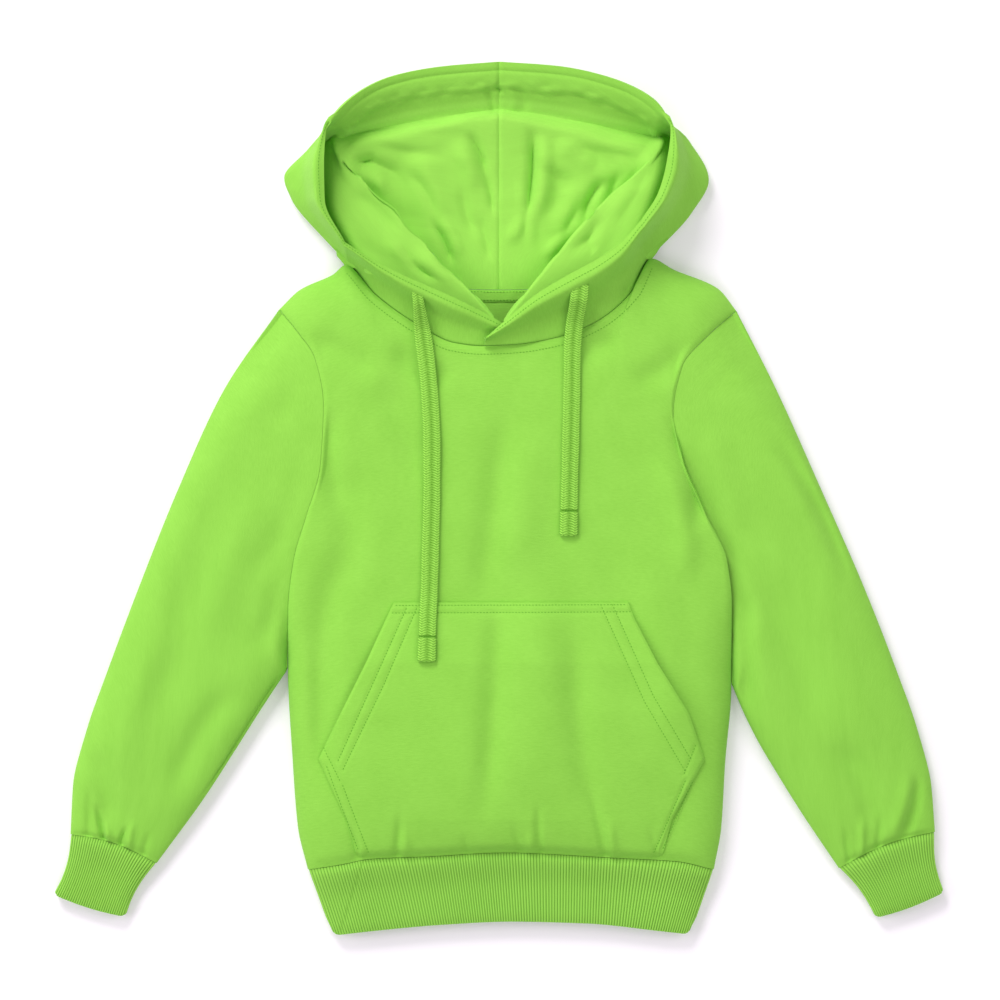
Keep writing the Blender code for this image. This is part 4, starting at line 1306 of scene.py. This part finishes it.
pocket = {
    "rows": 132,
    "columns": 190,
    "lift": 0.5,            # mm off the front where it is sewn
    "wall": 2.0,
    "edgeRound": 0.9,       # mm its folded edges fall
    "hemFall": 2.6,         # mm its lower edge falls into the hem seam
    "stitchPinch": 0.55,    # mm a stitch line pulls it in
    "outline": (
        # y,     left x, right x, edge off, middle off
        (-279, -112, 129, 0, 0.8),
        (-255, -122, 138, 0, 5),
        (-207, -144, 164, 0, 7.5),
        (-170, -126, 151, 5, 8),
        (-130, -106, 126, 5, 7.5),
        (-95, -90, 108, 0.8, 3),
        (-82, -84, 103, 0, 0),
    ),
    "stitchLines": (
        # x, y of each corner of a run
        ((-83, -84.4), (102, -83.8)),
        ((-86, -90.4), (106, -89.4)),
        ((-73.5, -86), (-98, -141), (-128.2, -208)),
        ((-65.4, -86), (-92, -148), (-124.8, -216)),
        ((80.6, -83), (115.8, -161), (148.6, -217)),
        ((90, -83), (122.8, -156.4), (153.4, -208)),
        ((-137.6, -212), (-112.3, -280)),
        ((-124.8, -226.8), (-104, -282)),
        ((148.6, -223.2), (123, -283)),
        ((154.4, -224.4), (130.5, -279)),
        ((-140.2, -197.2), (-125.9, -225.6)),
        ((156.8, -194.8), (147.2, -218.6)),
    ),
}


pocketFoot = pocket["outline"][0][0]
pocketTop = pocket["outline"][-1][0]


def pocketOutline(y):
    # the listed rows joined by straight lines, so its corners stay sharp
    rows = np.array(pocket["outline"])
    return np.stack([np.interp(y, rows[:, 0], column) for column in rows.T[1:]], axis=-1)


def pocketRise(across, off):
    # how far the pocket stands off the front: from its edges' to its middle's value
    return off[..., 0] + (off[..., 1] - off[..., 0]) * np.sin(math.pi * np.clip(across, 0, 1)) ** 0.6


def pocketHeight(x, y):
    # the front's height with the pocket's wall and rise on it, less along edges and stitches
    found = pocketOutline(y)
    across = (x - found[..., 0]) / (found[..., 1] - found[..., 0])
    edge = np.minimum(across, 1 - across) * (found[..., 1] - found[..., 0])
    edge = np.minimum(np.maximum(edge, 0), np.maximum(pocketTop - y, 0))
    height = frontHeight(x, y) + pocket["lift"] + pocket["wall"] + pocketRise(across, found[..., 2:4])
    height = height - pocket["edgeRound"] * bell(edge, 1.4)
    pull = np.full(x.shape, 99.0)
    for corners in pocket["stitchLines"]:
        for (x0, y0), (x1, y1) in zip(corners[:-1], corners[1:]):
            length = math.hypot(x1 - x0, y1 - y0)
            t = np.clip(((x - x0) * (x1 - x0) + (y - y0) * (y1 - y0)) / length ** 2, 0, 1)
            pull = np.minimum(pull, np.hypot(x - x0 - t * (x1 - x0), y - y0 - t * (y1 - y0)))
    return height - pocket["stitchPinch"] * bell(pull, 1.5)


def makePocket(look):
    # rows across the outline; the lowest ones ease down to the curve of the hem seam
    tall = pocketTop - pocketFoot
    t = edgeSpacing(look["rows"], 1.25)
    rowY = pocketFoot + tall * t
    across = edgeSpacing(look["columns"], 1.35)
    found = pocketOutline(rowY)
    x = found[:, 0:1] + (found[:, 1:2] - found[:, 0:1]) * across
    hemX, hemY = table(body["hemSeam"], np.linspace(0, 1, 60)).T
    down = np.interp(x, hemX, hemY) + 0.8 - pocketFoot
    y = rowY[:, None] + down * (1 - ease(t / 0.12))[:, None]
    inside = np.maximum(y, pocketFoot)
    z = pocketHeight(x, inside) - frontHeight(x, inside) + frontHeight(x, y)
    z = z - look["hemFall"] * bell(t * tall, 3.2)[:, None]
    piece = clothShell("pocketPanel", np.stack([x, y, z], axis=-1), fleece, wall=look["wall"])
    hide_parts("pocket")


makePocket(pocket)
print("pocket made")

tape = {
    "width": 9.5,
    "wall": 1.2,
    "reach": 0.16,          # to each side, as a share of the neck line's parameter
    "edgeRound": 0.5,
}


def makeTape(look):
    # the back neck line moved down by each station across the tape, its long edges rounded
    u = np.linspace(0.5 - look["reach"], 0.5 + look["reach"], 90)
    edge = bodyPoints(u, np.ones(len(u)), False)
    down = 0.5 + (look["width"] - 0.5) * edgeSpacing(15, 1.3)
    points = np.repeat(edge[None], len(down), axis=0)
    points[..., 1] -= down[:, None]
    fromEdge = np.minimum(down - 0.5, look["width"] - down)[:, None]
    points[..., 2] = clothWall + gap + look["wall"] - look["edgeRound"] * bell(fromEdge, 0.9)
    points[..., 2] += 0.25 * waves(points[..., 0], points[..., 1], (21.0, 13.0), 4)
    piece = clothShell("neckTape", points, fleece, wall=look["wall"] - 0.3, outward=False)
    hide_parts("neck_tape")


makeTape(tape)
print("neck tape made")

stitch = {
    "pitch": 2.6,
    "length": 1.7,
    "radius": 0.36,
    "sides": 6,
    "clear": 0.1,           # mm above the cloth
    "belowNeck": 6.6,       # mm from the neck seam
    "onTape": (1.7, 8.2),   # mm from the tape's upper edge
    "onRim": (0.62, 1.25),  # where on the hood's rim: at its sides and at its top
    "rimEnds": (0.03, 0.99),
}


def alongLine(line, pitch):
    # places a pitch apart on a line, and the direction at each
    run = runLength(line)
    at = np.arange(pitch / 2, run[-1], pitch)
    middle = np.stack([np.interp(at, run, line[:, k]) for k in range(3)], axis=-1)
    after = np.stack([np.interp(at + 0.5, run, line[:, k]) for k in range(3)], axis=-1)
    before = np.stack([np.interp(at - 0.5, run, line[:, k]) for k in range(3)], axis=-1)
    along = after - before
    return middle, along / np.maximum(np.linalg.norm(along, axis=1), 1e-6)[:, None]


def makeStitches(name, lines, look):
    # every stitch is a short spindle: rings whose radius follows a half sine, closed ends
    found = [alongLine(line, look["pitch"]) for line in lines]
    middle = np.concatenate([f[0] for f in found])
    along = np.concatenate([f[1] for f in found])
    sideways = np.cross(along, [0.0, 0.0, 1.0])
    sideways /= np.maximum(np.linalg.norm(sideways, axis=1), 1e-6)[:, None]
    up = np.cross(sideways, along)
    sides = look["sides"]
    place = np.linspace(-1, 1, 5)
    thick = look["radius"] * np.maximum(np.cos(place * math.pi / 2), 0.12)
    turn = np.arange(sides) * 2 * math.pi / sides
    ringSide = thick[:, None] * np.cos(turn)
    ringUp = thick[:, None] * np.sin(turn)
    points = (
        middle[:, None, None]
        + along[:, None, None] * (place * look["length"] / 2)[:, None, None]
        + sideways[:, None, None] * ringSide[..., None]
        + up[:, None, None] * ringUp[..., None]
    )
    single = gridQuads(5, sides, True).reshape(-1, 4)
    last = 4 * sides
    firstCap = np.array([[3, 2, 1, 0], [5, 4, 3, 0]])
    lastCap = last + np.array([[0, 1, 2, 3], [0, 3, 4, 5]])
    single = np.vstack([single, firstCap, lastCap])
    quads = single[None] + (np.arange(len(middle)) * 5 * sides)[:, None, None]
    piece = fillMesh(name, points.reshape(-1, 3), quads.reshape(-1, 4), thread)
    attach(piece, "root")
    print(name, len(middle), "stitches")


def onPocket(corners):
    # a run of straight lines, lifted to the pocket's surface
    corners = np.array(corners)
    run = runLength(corners)
    at = np.linspace(0, run[-1], max(2, round(run[-1] / 3)))
    x, y = (np.interp(at, run, corners[:, k]) for k in range(2))
    return np.column_stack([x, y, pocketHeight(x, y) + stitch["clear"]])


def belowNeck(distance):
    # the neck seam moved down the front by a distance
    u = np.linspace(0.195, 0.80, 150)
    line = beside(bodyPoints(u, np.ones(len(u)), True), -distance)
    line[:, 2] = frontHeight(line[:, 0], line[:, 1]) + stitch["clear"]
    return line


def onHood(side):
    # a line along the hood's rim, at one place across it at the sides and another at the top
    nearSide, nearTop = stitch["onRim"]
    first, last = stitch["rimEnds"]
    points, parts, lean = hoodHalves[side]
    at = nearSide * lean + nearTop * (1 - lean)
    cell = np.clip(np.searchsorted(parts, at) - 1, 0, len(parts) - 2)
    t = ((at - parts[cell]) / (parts[cell + 1] - parts[cell]))[:, None]
    rows = np.arange(len(points))
    line = points[rows, cell] * (1 - t) + points[rows, cell + 1] * t
    line[:, 2] += stitch["clear"] + 0.02
    count = len(line)
    return line[int(first * count):int(last * count)]


def onTape(down):
    # the back neck line moved down onto the tape
    u = np.linspace(0.5 - tape["reach"], 0.5 + tape["reach"], 60)
    line = bodyPoints(u, np.ones(len(u)), False)
    line[:, 1] -= down
    line[:, 2] = clothWall + gap + tape["wall"] + stitch["clear"]
    return line


makeStitches("pocketStitches", [onPocket(corners) for corners in pocket["stitchLines"]], stitch)
neckLines = [belowNeck(stitch["belowNeck"])] + [onTape(down) for down in stitch["onTape"]]
makeStitches("neckStitches", neckLines, stitch)
makeStitches("hoodStitches", [onHood(side) for side in ("left", "right")], stitch)

studio = {
    # the floor's pink tint is painted light that cancels the green the cloth throws on it, and its glow
    # painted light that lifts its shadows
    "floor": (0.93, 0.87, 0.94, 1.0),
    "glow": 0.09,
    "world": 0.44,
    "lamps": (
        # name, x, y, z, size, watts
        ("overHood", -1.1, 2.5, 2.0, 1.5, 76.0),
        ("overLeft", -2.7, 0.3, 1.6, 2.2, 38.0),
        ("overRight", 2.0, 0.6, 2.6, 1.8, 20.0),
        ("overHem", 0.2, -2.2, 2.6, 2.0, 20.0),
    ),
}


def setStudio(look):
    # a plain floor, tinted pink and glowing faintly as painted light against the cloth's green bounce
    # and the floor's shadows, soft round lamps aimed at the middle, and even white light around
    bpy.ops.mesh.primitive_plane_add(size=12)
    floor = bpy.context.object
    floor.name = "floor"
    made = Finish("paleFloor", 1.0, 0.0)
    made.shader.inputs["Base Color"].default_value = look["floor"]
    made.shader.inputs["Specular IOR Level"].default_value = 0.0
    made.shader.inputs["Emission Color"].default_value = (1.0, 1.0, 1.0, 1.0)
    made.shader.inputs["Emission Strength"].default_value = look["glow"]
    floor.data.materials.append(made.material)
    for name, x, y, z, size, watts in look["lamps"]:
        light = bpy.data.lights.new(name, "AREA")
        light.shape = "DISK"
        light.size = size
        light.energy = watts
        lamp = bpy.data.objects.new(name, light)
        lamp.location = (x, y, z)
        aim = -lamp.location.normalized()
        lamp.rotation_euler = aim.to_track_quat("-Z", "Y").to_euler()
        bpy.context.scene.collection.objects.link(lamp)
    world = bpy.data.worlds.new("studio")
    world.use_nodes = True
    world.node_tree.nodes["Background"].inputs["Color"].default_value = (1.0, 1.0, 1.0, 1.0)
    world.node_tree.nodes["Background"].inputs["Strength"].default_value = look["world"]
    bpy.context.scene.world = world
    bpy.context.scene.view_settings.view_transform = "Standard"


setStudio(studio)
print("studio set")
